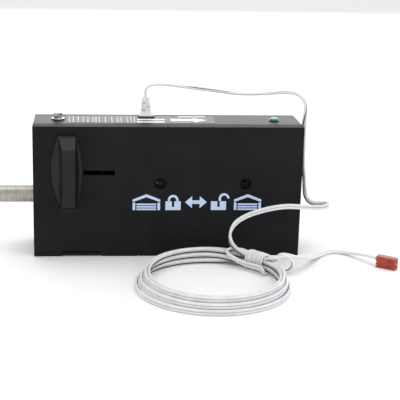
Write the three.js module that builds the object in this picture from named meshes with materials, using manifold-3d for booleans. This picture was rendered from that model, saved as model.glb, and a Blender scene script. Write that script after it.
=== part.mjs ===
// Powered deadbolt lock for a sectional garage door, in millimetres.
// +X runs along the case away from the bolt, the release handle faces -Y, +Z is up.
// The origin is the centre of the case's bottom face.
import * as THREE from 'three';
import { mergeVertices } from 'three/addons/utils/BufferGeometryUtils.js';
import Module from 'manifold-3d';

const wasm = await Module();
wasm.setup();

// ---------------------------------------------------------------- driving dimensions
const GAP = 0.3;
const CASE = { half: 122, depth: 57, height: 121, wall: 2.5, lid: 13 };
const FRONT = -CASE.depth / 2;
const BACK = CASE.depth / 2;
const SEAM = FRONT + CASE.lid;
const LEFT = -CASE.half;
const TOP = CASE.height;

const BOLT = { r: 7.95, z: 52, tip: -155.5, tail: -58, chamfer: 1.6, travel: 32 };
const SLOT = { left: -97.3, right: -48.7, z: 78.4, height: 5 };
const STEM = { left: -96.3, right: -81.7, height: 4.2 };
const CARRIAGE = { left: -98, right: -80, front: -20, back: 10, bottom: 42, top: 84 };
const LUG = { right: -90, front: -10, back: -4.2, bottom: 22 };
const ROD = { r: 2.5, y: 4, z: 68, from: -103, to: -43 };
const FIXING_HOLE = 1.95;
const COVER_SCREWS = [{ x: -7.5, z: 69 }, { x: 70, z: 69 }];
const WELL = { r: 5.6, wall: 1.6, depth: 4.6 };
const NOTCH = { left: -96.2, right: -60.1, height: 4.5 };
const PRY = { x: -26.3, width: 3.6, height: 2 };
const SOCKET = { x: -18.85, y: 16.25, w: 14.3, d: 9.5, floor: 104 };
const LAMP = { x: 99, y: 2.2, r: 4.8 };
const HEX = { x: -100.1, y: 5.3, flange: 6.1, across: 7.94, height: 5.2 };
const LABEL = { left: -92.7, right: 44, front: -10.9, back: 20.1, lift: 0.3, thick: 0.2 };

const MODULE = 0.8;
const RACK = { module: 1, teeth: 14, pitchLine: 44, halfWidth: 5, left: -57, right: -4, top: 56 };
const PINION = { x: -14, teeth: 16 };
const SLACK = 0.12;
const TRAIN = { output: 48, small: 12, large: 36, motor: 12 };
const TRAIN_TILT = { idler: -15, motor: -10 };
const LAYER = { rack: [-5.5, 5.5], first: [9.5, 14.5], second: [16, 20] };
const PLATES = { front: [-9.5, -8], rear: [21.2, 22.7], left: -41, bottom: 5.5, top: 67 };
const MOTOR = { r: 12.2, front: -21.5, back: 9.3, cap: 3 };

const WIRE = { width: 4.8 };
const COIL = { x: 32.2, y: -111.2, inner: 60.2, outer: 65.7, height: 13.8 };
const TIE = { from: 25, to: 53, inner: 57.4, outer: 68.6, height: 16.6 };
const PLUG_TOP = 140;
const CONNECTOR = { x: 188.3, y: -59.4, length: 18.5, height: 10.5, thick: 7, turn: -36.6 };

// ---------------------------------------------------------------- finishes
const finish = (color, roughness, metalness) => () =>
  new THREE.MeshStandardMaterial({ color, roughness, metalness });
const blackPlastic = finish(0x2a2a2c, 0.45, 0);
const steel = finish(0xb9b3a8, 0.32, 1);
const zinc = finish(0xc4c6c8, 0.35, 1);
const blackSteel = finish(0x1c1c1e, 0.4, 0.8);
const castMetal = finish(0x9a9a98, 0.5, 0.9);
const nylon = finish(0xe6e2d6, 0.5, 0);
const acetal = finish(0xf0eee6, 0.4, 0);
const brass = finish(0xc9a449, 0.35, 1);
const rubber = finish(0x1a1a1a, 0.9, 0);
const boardGreen = finish(0x1f5d36, 0.5, 0);
const componentBlack = finish(0x18181a, 0.5, 0);
const relayBlue = finish(0x2a5ea8, 0.45, 0);
const whitePvc = finish(0xe9e8e4, 0.5, 0);
const redPlastic = finish(0xbe5041, 0.4, 0);
const greenLens = finish(0x9fe0b4, 0.2, 0);
const labelFilm = finish(0x8a8a8c, 0.4, 0);

// ---------------------------------------------------------------- shape helpers
const box = (x0, x1, y0, y1, z0, z1) =>
  new THREE.BoxGeometry(x1 - x0, y1 - y0, z1 - z0)
    .translate((x0 + x1) / 2, (y0 + y1) / 2, (z0 + z1) / 2);

const shapeOf = (points) => new THREE.Shape(points.map(([a, b]) => new THREE.Vector2(a, b)));

// A drawing in the XZ plane, made solid from y0 to y1.
const plateXZ = (shape, y0, y1, curveSegments = 8) =>
  new THREE.ExtrudeGeometry(shape, { depth: y1 - y0, bevelEnabled: false, curveSegments })
    .rotateX(Math.PI / 2)
    .translate(0, y1, 0);

// A drawing in the YZ plane, made solid from x0 to x1.
const plateYZ = (shape, x0, x1) =>
  new THREE.ExtrudeGeometry(shape, { depth: x1 - x0, bevelEnabled: false })
    .rotateX(Math.PI / 2)
    .rotateZ(Math.PI / 2)
    .translate(x0, 0, 0);

const rodX = (r, x0, x1, y, z, sides = 16) =>
  new THREE.CylinderGeometry(r, r, x1 - x0, sides).rotateZ(Math.PI / 2).translate((x0 + x1) / 2, y, z);
const rodY = (r, y0, y1, x, z, sides = 16) =>
  new THREE.CylinderGeometry(r, r, y1 - y0, sides).translate(x, (y0 + y1) / 2, z);
const rodZ = (r, z0, z1, x, y, sides = 16) =>
  new THREE.CylinderGeometry(r, r, z1 - z0, sides).rotateX(Math.PI / 2).translate(x, y, (z0 + z1) / 2);

function asSolid(geometry) {
  const bare = geometry.clone();
  bare.deleteAttribute('normal');
  bare.deleteAttribute('uv');
  const merged = mergeVertices(bare, 1e-4);
  return new wasm.Manifold(new wasm.Mesh({
    numProp: 3,
    vertProperties: new Float32Array(merged.attributes.position.array),
    triVerts: new Uint32Array(merged.index.array),
  }));
}

function asGeometry(manifold) {
  const data = manifold.getMesh();
  const geometry = new THREE.BufferGeometry();
  geometry.setAttribute('position', new THREE.BufferAttribute(data.vertProperties, 3));
  geometry.setIndex(new THREE.BufferAttribute(data.triVerts, 1));
  return geometry;
}

const join = (...shapes) => asGeometry(shapes.map(asSolid).reduce((sum, next) => sum.add(next)));
const cut = (body, ...tools) =>
  asGeometry(tools.reduce((rest, tool) => rest.subtract(asSolid(tool)), asSolid(body)));
const meet = (a, b) => asGeometry(asSolid(a).intersect(asSolid(b)));

const group = new THREE.Group();
function add(name, geometry, material) {
  const mesh = new THREE.Mesh(geometry, material());
  mesh.name = name;
  group.add(mesh);
}

// ---------------------------------------------------------------- case
const tongueSpan = { left: NOTCH.left + 0.8, right: NOTCH.right - 0.8 };
const bossAt = ({ x, z }, tip, r = 4) => rodY(r, tip, BACK - CASE.wall + 0.5, x, z);
const idlerTilt = THREE.MathUtils.degToRad(TRAIN_TILT.idler);
const motorTilt = THREE.MathUtils.degToRad(TRAIN_TILT.motor);
const pitchRadius = (teeth, module = MODULE) => (teeth * module) / 2;
const outputAxis = {
  x: PINION.x,
  z: RACK.pitchLine - pitchRadius(PINION.teeth, RACK.module) - SLACK,
};
const idlerReach = pitchRadius(TRAIN.output + TRAIN.small) + SLACK;
const idlerAxis = {
  x: outputAxis.x + idlerReach * Math.cos(idlerTilt),
  z: outputAxis.z + idlerReach * Math.sin(idlerTilt),
};
const motorReach = pitchRadius(TRAIN.large + TRAIN.motor) + SLACK;
const motorAxis = {
  x: idlerAxis.x + motorReach * Math.cos(motorTilt),
  z: idlerAxis.z + motorReach * Math.sin(motorTilt),
};
const pillars = [{ x: -37, z: 18 }, { x: 10, z: 62 }, { x: 8, z: 10 }];
const bracketPillars = [{ x: 44, z: 40 }, { x: 44, z: 12 }];
const castingScrews = [{ x: -111, z: 76 }, { x: -94, z: 108 }];
const boardScrews = [{ x: -34, z: 90 }, { x: 104, z: 84 }];

function caseShell(y0, y1, openSide) {
  const outer = box(LEFT, -LEFT, y0, y1, 0, TOP);
  const innerFront = openSide === 'front' ? y0 - 1 : y0 + CASE.wall;
  const innerBack = openSide === 'front' ? y1 - CASE.wall : y1 + 1;
  const inner = box(
    LEFT + CASE.wall, -LEFT - CASE.wall, innerFront, innerBack, CASE.wall, TOP - CASE.wall,
  );
  return cut(outer, inner);
}

function rearHousing() {
  const inside = BACK - CASE.wall;
  const tips = [
    ...COVER_SCREWS.map((at) => ({ at, tip: FRONT + WELL.depth + WELL.wall + 1.2 })),
    ...pillars.map((at) => ({ at, tip: PLATES.rear[1] + GAP })),
    ...bracketPillars.map((at) => ({ at, tip: PLATES.rear[1] + GAP })),
    ...castingScrews.map((at) => ({ at, tip: 18 + GAP })),
    ...boardScrews.map((at) => ({ at, tip: 15.9 })),
  ];
  const shell = join(
    caseShell(SEAM + GAP / 2, BACK, 'front'),
    ...tips.map(({ at, tip }) => bossAt(at, tip)),
    box(-108.5, -103.2, -3.9, inside + 0.5, 22, 31),
    box(-52.8, -47.6, -3.9, inside + 0.5, 22, 31),
    box(-45.4, -41.4, -1.5, inside + 0.5, 63, 73),
    box(tongueSpan.left, tongueSpan.right, FRONT + 1.2, SEAM + 4, 0.6, 3.2),
  );
  const corners = [-105, 105].flatMap((x) => [12, 109].map((z) => ({ x, z })));
  return cut(
    shell,
    ...COVER_SCREWS.map(({ x, z }) => rodY(2.1, FRONT, 6, x, z, 12)),
    ...[...pillars, ...bracketPillars].map(({ x, z }) => rodY(1.7, 20, inside, x, z, 10)),
    ...castingScrews.map(({ x, z }) => rodY(1.9, 10, inside, x, z, 10)),
    ...boardScrews.map(({ x, z }) => rodY(1.6, 10, 24, x, z, 10)),
    ...corners.map(({ x, z }) => rodY(FIXING_HOLE, 20, BACK + 1, x, z, 12)),
    rodX(9.8, LEFT - 1, LEFT + 4, 0, BOLT.z, 32),
    rodX(ROD.r + GAP, -50, -42.4, ROD.y, ROD.z),
    box(
      SOCKET.x - SOCKET.w / 2 - GAP, SOCKET.x + SOCKET.w / 2 + GAP,
      SOCKET.y - SOCKET.d / 2 - GAP, SOCKET.y + SOCKET.d / 2 + GAP, TOP - 4, TOP + 1,
    ),
    rodZ(2.9, TOP - 4, TOP + 1, LAMP.x, LAMP.y),
    rodZ(2.7, TOP - 4, TOP + 1, HEX.x, HEX.y),
  );
}

function frontCover() {
  const shell = join(
    caseShell(FRONT, SEAM - GAP / 2, 'back'),
    ...COVER_SCREWS.map(({ x, z }) =>
      rodY(WELL.r + WELL.wall, FRONT + 1, FRONT + WELL.depth + WELL.wall, x, z, 24)),
  );
  const pry = shapeOf([
    [PRY.x - PRY.width / 2, -1], [PRY.x + PRY.width / 2, -1],
    [PRY.x + PRY.width / 2, 0], [PRY.x, PRY.height], [PRY.x - PRY.width / 2, 0],
  ]);
  return cut(
    shell,
    ...COVER_SCREWS.flatMap(({ x, z }) => [
      rodY(WELL.r, FRONT - 1, FRONT + WELL.depth, x, z, 24),
      rodY(2.2, FRONT - 1, SEAM, x, z, 12),
    ]),
    box(SLOT.left, SLOT.right, FRONT - 1, FRONT + 4, SLOT.z - SLOT.height / 2, SLOT.z + SLOT.height / 2),
    box(NOTCH.left, NOTCH.right, FRONT - 1, SEAM, -1, NOTCH.height),
    plateXZ(pry, FRONT - 1, FRONT + 4),
  );
}

// A pan-head cross-recess screw whose axis lies along Y, head towards -Y.
function crossScrew(x, z, headFront, headR, headLength, shankR, shankEnd) {
  const body = join(
    rodY(headR, headFront, headFront + headLength, x, z, 24),
    rodY(shankR, headFront + headLength - 0.2, shankEnd, x, z, 12),
  );
  const arm = headR * 0.62;
  const slit = headR * 0.13;
  return cut(
    body,
    box(x - arm, x + arm, headFront - 1, headFront + headLength * 0.55, z - slit, z + slit),
    box(x - slit, x + slit, headFront - 1, headFront + headLength * 0.55, z - arm, z + arm),
  );
}

add('rear_housing', rearHousing(), blackPlastic);
add('front_cover', frontCover(), blackPlastic);
COVER_SCREWS.forEach(({ x, z }, i) => {
  const floor = FRONT + WELL.depth;
  const screw = crossScrew(x, z, floor - 2.5, 3.85, 2.2, 1.75, -4);
  add(`cover_screw_${['left', 'right'][i]}`, screw, blackSteel);
});

const hexBase = TOP + GAP;
add('top_hex_screw', join(
  rodZ(HEX.flange, hexBase, hexBase + 1, HEX.x, HEX.y, 32),
  new THREE.CylinderGeometry(HEX.across / Math.sqrt(3), HEX.across / Math.sqrt(3), HEX.height, 6)
    .rotateX(Math.PI / 2)
    .translate(HEX.x, HEX.y, hexBase + 0.9 + HEX.height / 2),
  rodZ(2.35, TOP - 13, hexBase + 0.5, HEX.x, HEX.y),
), zinc);

add('top_label', cut(
  box(LABEL.left, LABEL.right, LABEL.front, LABEL.back, TOP + LABEL.lift, TOP + LABEL.lift + LABEL.thick),
  box(
    SOCKET.x - SOCKET.w / 2 - 1, SOCKET.x + SOCKET.w / 2 + 1,
    SOCKET.y - SOCKET.d / 2 - 1, LABEL.back + 5, TOP, TOP + 2,
  ),
), labelFilm);

// ---------------------------------------------------------------- bolt guides
add('bolt_bush', cut(
  join(
    rodX(9.5, LEFT - 0.8, LEFT + CASE.wall + 0.4, 0, BOLT.z, 32),
    rodX(11.5, LEFT + CASE.wall + GAP, LEFT + CASE.wall + 2, 0, BOLT.z, 32),
  ),
  rodX(BOLT.r + GAP, LEFT - 3, LEFT + 8, 0, BOLT.z, 32),
), nylon);

const castingOutline = shapeOf([
  [-117, 36], [-103, 36], [-103, 92], [-88, 98], [-88, 114], [-117, 114],
]);
add('guide_casting', cut(
  plateXZ(castingOutline, -12, 18),
  rodX(BOLT.r + GAP, -120, -100, 0, BOLT.z, 32),
  rodX(ROD.r + GAP, -112, -100, ROD.y, ROD.z),
  rodZ(2.7, TOP - 16, TOP, HEX.x, HEX.y, 12),
  ...castingScrews.map(({ x, z }) => rodY(1.9, -13, 19, x, z, 10)),
  box(-112, -90, -13, 8, 90, 104),
), castMetal);
castingScrews.forEach(({ x, z }, i) => {
  add(`casting_screw_${i + 1}`, crossScrew(x, z, -14.6, 3.4, 2.2, 1.55, 25), zinc);
});
add('guide_rod', rodX(ROD.r, ROD.from - 8, ROD.to, ROD.y, ROD.z), steel);
add('stop_bumper', cut(
  rodX(5.2, -47.7, -45.8, ROD.y, ROD.z),
  rodX(ROD.r + GAP, -50, -44, ROD.y, ROD.z),
), rubber);

// ---------------------------------------------------------------- bolt, carriage, handle
const boltProfile = [
  [0, BOLT.tip], [BOLT.r - BOLT.chamfer, BOLT.tip], [BOLT.r, BOLT.tip + BOLT.chamfer],
  [BOLT.r, BOLT.tail - 0.6], [BOLT.r - 0.6, BOLT.tail], [0, BOLT.tail],
].map(([r, along]) => new THREE.Vector2(r, along));
const boltBody = new THREE.LatheGeometry(boltProfile, 32).rotateZ(-Math.PI / 2).translate(0, 0, BOLT.z);
const carriageMiddle = (CARRIAGE.left + CARRIAGE.right) / 2;
const rackPinX = -64;
add('deadbolt', cut(
  boltBody,
  rodZ(2.3, CARRIAGE.bottom - 1, 70, carriageMiddle, 0, 12),
  box(-71, BOLT.tail + 1, -3.3, 3.3, 40, 64),
  rodY(1.8, -10, 10, rackPinX, BOLT.z, 12),
), steel);

add('bolt_carriage', cut(
  join(
    box(CARRIAGE.left, CARRIAGE.right, CARRIAGE.front, CARRIAGE.back, CARRIAGE.bottom, CARRIAGE.top),
    box(CARRIAGE.left, LUG.right, LUG.front, LUG.back, LUG.bottom, CARRIAGE.bottom + 1),
  ),
  rodX(BOLT.r + GAP, -100, -78, 0, BOLT.z, 32),
  rodX(ROD.r + GAP, -100, -78, ROD.y, ROD.z),
  rodZ(2.3, CARRIAGE.bottom - 1, 63, carriageMiddle, 0, 12),
  rodY(2, -21, 11, carriageMiddle, SLOT.z, 12),
  box(CARRIAGE.left - 1, CARRIAGE.right + 1, CARRIAGE.front - 1, -11, CARRIAGE.bottom - 1, 70),
), acetal);
add('carriage_pin', rodZ(2, CARRIAGE.bottom + 0.5, 62, carriageMiddle, 0, 12), steel);

const lens = new THREE.Shape();
lens.moveTo(-99.8, 113.4);
lens.quadraticCurveTo(-114.9, 78.4, -96, 43.2);
lens.lineTo(-83.5, 43.2);
lens.quadraticCurveTo(-70.4, 78.4, -83.3, 113.4);
const grip = shapeOf([[-29.5, 113], [-29.5, 44], [-43.5, 50.3], [-43.5, 102.2]]);
const stem = box(STEM.left, STEM.right, FRONT - 1, CARRIAGE.front - GAP, 0, STEM.height)
  .translate(0, 0, SLOT.z - STEM.height / 2);
const handle = join(plateXZ(lens, FRONT - GAP - 2.2, FRONT - GAP, 12), plateYZ(grip, -94.7, -84), stem);
add('release_handle', cut(handle, rodY(1.7, -34, -19, carriageMiddle, SLOT.z, 12)), blackPlastic);
add('handle_screw', join(
  rodY(1.4, -33, CARRIAGE.back + 1, carriageMiddle, SLOT.z, 10),
  rodY(3.2, CARRIAGE.back + GAP, CARRIAGE.back + 2.3, carriageMiddle, SLOT.z, 16),
), zinc);

// ---------------------------------------------------------------- rack and gears
function rackTeeth() {
  const pitch = Math.PI * RACK.module;
  const lean = Math.tan(THREE.MathUtils.degToRad(20));
  const rootZ = RACK.pitchLine + 1.25 * RACK.module;
  const tipZ = RACK.pitchLine - 0.9 * RACK.module;
  const halfAtPitch = pitch / 4 - 0.1;
  const points = [[RACK.left, rootZ]];
  for (let i = RACK.teeth - 3; i >= -2; i -= 1) {
    const x = PINION.x - i * pitch;
    const atRoot = halfAtPitch + (rootZ - RACK.pitchLine) * lean;
    const atTip = halfAtPitch - (RACK.pitchLine - tipZ) * lean;
    points.push([x - atRoot, rootZ], [x - atTip, tipZ], [x + atTip, tipZ], [x + atRoot, rootZ]);
  }
  points.push([RACK.right, rootZ], [RACK.right, RACK.top], [RACK.left, RACK.top]);
  return shapeOf(points);
}
add('drive_rack', cut(
  join(
    plateXZ(rackTeeth(), -RACK.halfWidth, RACK.halfWidth),
    box(-70.4, RACK.left + 1, -3, 3, BOLT.z - 5, RACK.top - 1),
  ),
  rodY(1.8, -10, 10, rackPinX, BOLT.z, 12),
), steel);
add('rack_pin', rodY(1.5, -7.2, 7.2, rackPinX, BOLT.z, 12), steel);

const involute = (angle) => Math.tan(angle) - angle;
function gearShape(module, teeth, at, toothAngle, tipHeight = 0.9) {
  const pitchR = pitchRadius(teeth, module);
  const pressure = THREE.MathUtils.degToRad(20);
  const baseR = pitchR * Math.cos(pressure);
  const radii = [pitchR - 1.25 * module, pitchR - 0.1 * module, pitchR + tipHeight * module];
  const half = radii.map((r) => {
    const turned = r > baseR ? involute(Math.acos(baseR / r)) : 0;
    const flank = Math.PI / (2 * teeth) - 0.1 / pitchR + involute(pressure) - turned;
    return r > baseR ? flank : flank * 0.92;
  });
  const points = [];
  for (let i = 0; i < teeth; i += 1) {
    const middle = toothAngle + (i * 2 * Math.PI) / teeth;
    [[0, -1], [1, -1], [2, -1], [2, 1], [1, 1], [0, 1]].forEach(([level, side]) => {
      const angle = middle + side * half[level];
      points.push([at.x + radii[level] * Math.cos(angle), at.z + radii[level] * Math.sin(angle)]);
    });
  }
  return shapeOf(points);
}
const halfTooth = (teeth) => Math.PI / teeth;
const shaftHole = (at, r) => rodY(r, -30, 30, at.x, at.z, 12);
const SHAFT = { output: 2.5, idler: 1.5 };

add('output_gear', cut(
  join(
    plateXZ(gearShape(RACK.module, PINION.teeth, outputAxis, Math.PI / 2 + halfTooth(16)), ...LAYER.rack),
    rodY(6, LAYER.rack[1] - 0.5, LAYER.first[0] + 0.5, outputAxis.x, outputAxis.z, 24),
    plateXZ(gearShape(MODULE, TRAIN.output, outputAxis, idlerTilt, 0.8), ...LAYER.first),
  ),
  shaftHole(outputAxis, SHAFT.output + GAP / 2),
), acetal);
add('idler_gear', cut(
  join(
    plateXZ(
      gearShape(MODULE, TRAIN.small, idlerAxis, idlerTilt + Math.PI + halfTooth(TRAIN.small)),
      LAYER.first[0], LAYER.second[0] + 0.5,
    ),
    plateXZ(gearShape(MODULE, TRAIN.large, idlerAxis, motorTilt, 0.8), ...LAYER.second),
  ),
  shaftHole(idlerAxis, SHAFT.idler + GAP / 2),
), brass);
add('motor_pinion', join(
  plateXZ(
    gearShape(MODULE, TRAIN.motor, motorAxis, motorTilt + Math.PI + halfTooth(TRAIN.motor)),
    ...LAYER.second,
  ),
  rodY(1, MOTOR.back + GAP, LAYER.second[1] + 0.6, motorAxis.x, motorAxis.z, 12),
), brass);

const shaftEnds = [PLATES.front[0] - 0.6, PLATES.rear[1] + 0.8];
add('output_shaft', rodY(SHAFT.output, ...shaftEnds, outputAxis.x, outputAxis.z, 20), steel);
add('idler_shaft', rodY(SHAFT.idler, ...shaftEnds, idlerAxis.x, idlerAxis.z, 16), steel);

// ---------------------------------------------------------------- drive frame and motor
function framePlate(right, y0, y1, tools) {
  return cut(
    box(PLATES.left, right, y0, y1, PLATES.bottom, PLATES.top),
    shaftHole(outputAxis, SHAFT.output + GAP),
    shaftHole(idlerAxis, SHAFT.idler + GAP),
    rodY(4.8, y0 - 1, y1 + 1, COVER_SCREWS[0].x, COVER_SCREWS[0].z),
    ...pillars.map(({ x, z }) => rodY(1.7, y0 - 1, y1 + 1, x, z, 10)),
    ...tools,
  );
}
add('frame_plate_front', framePlate(13.5, ...PLATES.front, []), zinc);
add('frame_plate_rear', framePlate(49, ...PLATES.rear, [
  ...bracketPillars.map(({ x, z }) => rodY(1.7, 20, 24, x, z, 10)),
  rodY(4, 20, 24, motorAxis.x, motorAxis.z),
]), zinc);

function pillar(x, z, front, neck) {
  return join(
    rodY(3.2, front - neck - 2.4, front - neck, x, z, 6),
    rodY(1.4, front - neck - 0.2, front + 0.4, x, z, 10),
    rodY(2.6, front, PLATES.rear[0] - GAP, x, z, 12),
    rodY(1.4, PLATES.rear[0] - GAP - 0.2, BACK - CASE.wall - 0.6, x, z, 10),
  );
}
pillars.forEach(({ x, z }, i) => {
  const neck = PLATES.front[1] - PLATES.front[0] + 2 * GAP;
  add(`frame_pillar_${i + 1}`, pillar(x, z, PLATES.front[1] + GAP, neck), zinc);
});

const BRACKET = [MOTOR.back + GAP, MOTOR.back + GAP + 1.5];
const motorScrews = [-1, 1].map((side) => ({ x: motorAxis.x, z: motorAxis.z + side * 8 }));
add('motor_bracket', cut(
  box(17, 49, ...BRACKET, 7, 45),
  shaftHole(motorAxis, 3.3),
  ...bracketPillars.map(({ x, z }) => rodY(1.7, 8, 13, x, z, 10)),
  ...motorScrews.map(({ x, z }) => rodY(1.5, 8, 13, x, z, 10)),
), zinc);
bracketPillars.forEach(({ x, z }, i) => {
  add(`bracket_pillar_${i + 1}`, pillar(x, z, BRACKET[1] + GAP, BRACKET[1] - BRACKET[0] + 2 * GAP), zinc);
});
motorScrews.forEach(({ x, z }, i) => {
  add(`motor_screw_${i + 1}`, join(
    rodY(2, BRACKET[1] + GAP, BRACKET[1] + 1.6, x, z, 12),
    rodY(1.2, MOTOR.back - 3, BRACKET[1] + 0.5, x, z, 10),
  ), zinc);
});
add('motor_can', cut(
  rodY(MOTOR.r, MOTOR.front + MOTOR.cap + GAP, MOTOR.back, motorAxis.x, motorAxis.z, 32),
  shaftHole(motorAxis, 1.3),
  ...motorScrews.map(({ x, z }) => rodY(1.5, MOTOR.back - 3.4, MOTOR.back + 1, x, z, 10)),
), zinc);
add('motor_end_cap', join(
  rodY(MOTOR.r - 0.8, MOTOR.front, MOTOR.front + MOTOR.cap, motorAxis.x, motorAxis.z, 32),
  rodY(3, MOTOR.front - 1.4, MOTOR.front + 0.5, motorAxis.x, motorAxis.z),
  ...[-7, 7].map((x) => box(-1, 1, MOTOR.front - 2.4, MOTOR.front + 0.5, -0.4, 0.4)
    .translate(motorAxis.x + x, 0, motorAxis.z)),
), componentBlack);
add('rack_shoe', join(
  box(-25, -2, -6, 6, RACK.top + 0.4, RACK.top + 4.2),
  box(-25, -2, 6 - 0.1, 8, RACK.top - 4, RACK.top + 4.2),
), nylon);

// ---------------------------------------------------------------- limit switches
const PLUNGER = { y: -7.1, z: 26.4 };
const switches = [
  { name: 'extended', x0: -109, x1: -102.5, side: 1 },
  { name: 'retracted', x0: -53.5, x1: -47, side: -1 },
];
switches.forEach(({ name, x0, x1, side }) => {
  const [nose, heel] = side > 0 ? [x1, x0] : [x0, x1];
  const tip = side > 0 ? CARRIAGE.left - GAP : LUG.right + BOLT.travel + GAP;
  const ordered = (a, b) => [Math.min(a, b), Math.max(a, b)];
  const terminals = [22.5, 30].map((z) =>
    box(...ordered(heel - side * 3.2, heel + side), -7.5, -6.7, z - 1, z + 1));
  add(`limit_switch_${name}`, cut(
    join(box(x0, x1, -10, -4.2, 20, 32.8), ...terminals),
    rodX(1.3, ...ordered(nose - side * 3, nose + side), PLUNGER.y, PLUNGER.z, 12),
  ), componentBlack);
  add(
    `switch_plunger_${name}`,
    rodX(1, ...ordered(nose - side * 1.6, tip), PLUNGER.y, PLUNGER.z, 12),
    nylon,
  );
});

// ---------------------------------------------------------------- circuit board
const BOARD = { left: -40, right: 112, front: 14, back: 15.6, bottom: 77, top: 102 };
add('circuit_board', cut(
  box(BOARD.left, BOARD.right, BOARD.front, BOARD.back, BOARD.bottom, BOARD.top),
  ...boardScrews.map(({ x, z }) => rodY(1.9, 10, 20, x, z, 10)),
), boardGreen);
boardScrews.forEach(({ x, z }, i) => {
  add(`board_screw_${i + 1}`, crossScrew(x, z, BOARD.front - GAP - 1.8, 2.8, 1.8, 1.3, 23), zinc);
});
const onBoard = BOARD.front - GAP;
add('relay', box(20, 39, onBoard - 15, onBoard, 82, 97), relayBlue);
add('capacitor', new THREE.CylinderGeometry(4, 4, 12, 20).translate(52, onBoard - 6, 90), componentBlack);
add('microcontroller', box(-4, 8, onBoard - 2, onBoard, 84, 94), componentBlack);
add('wire_header', join(
  box(60, 72, onBoard - 7, onBoard, 80, 86),
  box(60, 72, onBoard - 2, onBoard, 85.5, 90),
), nylon);

add('indicator_led', join(
  rodZ(2.5, 99, 106, LAMP.x, LAMP.y, 20),
  new THREE.SphereGeometry(2.5, 20, 8).rotateX(Math.PI / 2).translate(LAMP.x, LAMP.y, 106),
  rodZ(2.9, 98, 99.2, LAMP.x, LAMP.y, 20),
  box(LAMP.x - 1.5, LAMP.x - 1, LAMP.y - 0.25, LAMP.y + 0.25, 94, 98.5),
  box(LAMP.x + 1, LAMP.x + 1.5, LAMP.y - 0.25, LAMP.y + 0.25, 94, 98.5),
  box(LAMP.x - 1.5, LAMP.x - 1, LAMP.y, onBoard, 94, 94.5),
  box(LAMP.x + 1, LAMP.x + 1.5, LAMP.y, onBoard, 94, 94.5),
), greenLens);
const domeRise = 2;
const domeR = (LAMP.r * LAMP.r + domeRise * domeRise) / (2 * domeRise);
const flange = [TOP + GAP, TOP + GAP + 0.7];
const domeProfile = [[0, 110], [2.5, 110], [2.5, flange[0]], ...flange.map((z) => [LAMP.r, z])];
for (let i = 1; i <= 4; i += 1) {
  const angle = Math.asin(LAMP.r / domeR) * (1 - i / 4);
  const rise = domeR * Math.cos(angle) - domeR + domeRise;
  domeProfile.push([i === 4 ? 0 : domeR * Math.sin(angle), TOP + GAP + 0.7 + rise]);
}
const domeLathe = new THREE.LatheGeometry(domeProfile.map(([r, z]) => new THREE.Vector2(r, z)), 24);
add('light_pipe', domeLathe.rotateX(Math.PI / 2).translate(LAMP.x, LAMP.y, 0), greenLens);

const around = ({ x, y }, w, d, z0, z1) => box(x - w / 2, x + w / 2, y - d / 2, y + d / 2, z0, z1);
add('socket_shell', cut(
  around(SOCKET, SOCKET.w, SOCKET.d, SOCKET.floor, TOP - 0.5),
  around(SOCKET, SOCKET.w - 2.4, SOCKET.d - 2.4, SOCKET.floor + 1.6, TOP + 1),
), componentBlack);

// ---------------------------------------------------------------- inner wires
function tubeAlong(points, section, steps) {
  const path = new THREE.CatmullRomCurve3(points.map(([x, y, z]) => new THREE.Vector3(x, y, z)));
  return new THREE.ExtrudeGeometry(section, { steps, bevelEnabled: false, extrudePath: path });
}
function ovalSection(a, b, sides) {
  const points = [];
  for (let i = 0; i < sides; i += 1) {
    const angle = (i * 2 * Math.PI) / sides;
    points.push([a * Math.cos(angle), b * Math.sin(angle)]);
  }
  return shapeOf(points);
}
const thinLead = ovalSection(1.1, 1.1, 6);
add('motor_lead', tubeAlong([
  [motorAxis.x + 7, -24.6, 27.4], [38, -24.3, 31], [47, -20, 42], [54, -10, 54],
  [58, 0, 63], [61, 7, 71], [64, 10, 79.2],
], thinLead, 26), redPlastic);
add('extended_switch_lead', tubeAlong([
  [-113, -7.1, 26], [-116, -3, 26], [-117, 8, 28], [-114, 20.6, 33], [-106, 22.6, 48],
  [-98, 22.6, 66], [-80, 22.4, 82], [-62, 21, 90], [-50, 17, 93], [-41.5, 14.8, 93],
], thinLead, 34), whitePvc);
add('retracted_switch_lead', tubeAlong([
  [-43, -7.1, 26], [-43, -2, 26], [-48, 13, 34], [-56, 20.5, 46], [-60, 21.5, 62],
  [-56, 20, 76], [-48, 16.4, 84], [-41.5, 14.8, 86],
], thinLead, 26), whitePvc);

// ---------------------------------------------------------------- cord
const plugNeck = 4.7;
add('cord_plug', join(
  around(SOCKET, SOCKET.w - 3.2, SOCKET.d - 3.2, SOCKET.floor + 3, TOP + 1),
  around(SOCKET, SOCKET.w + 0.3, 8.4, TOP + 0.6, TOP + 5.2),
  new THREE.CylinderGeometry(3.6, plugNeck, PLUG_TOP - TOP - 5, 16)
    .rotateX(Math.PI / 2)
    .scale(1, 0.62, 1)
    .translate(SOCKET.x - 0.5, SOCKET.y, (PLUG_TOP + TOP + 5) / 2),
), whitePvc);

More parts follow.
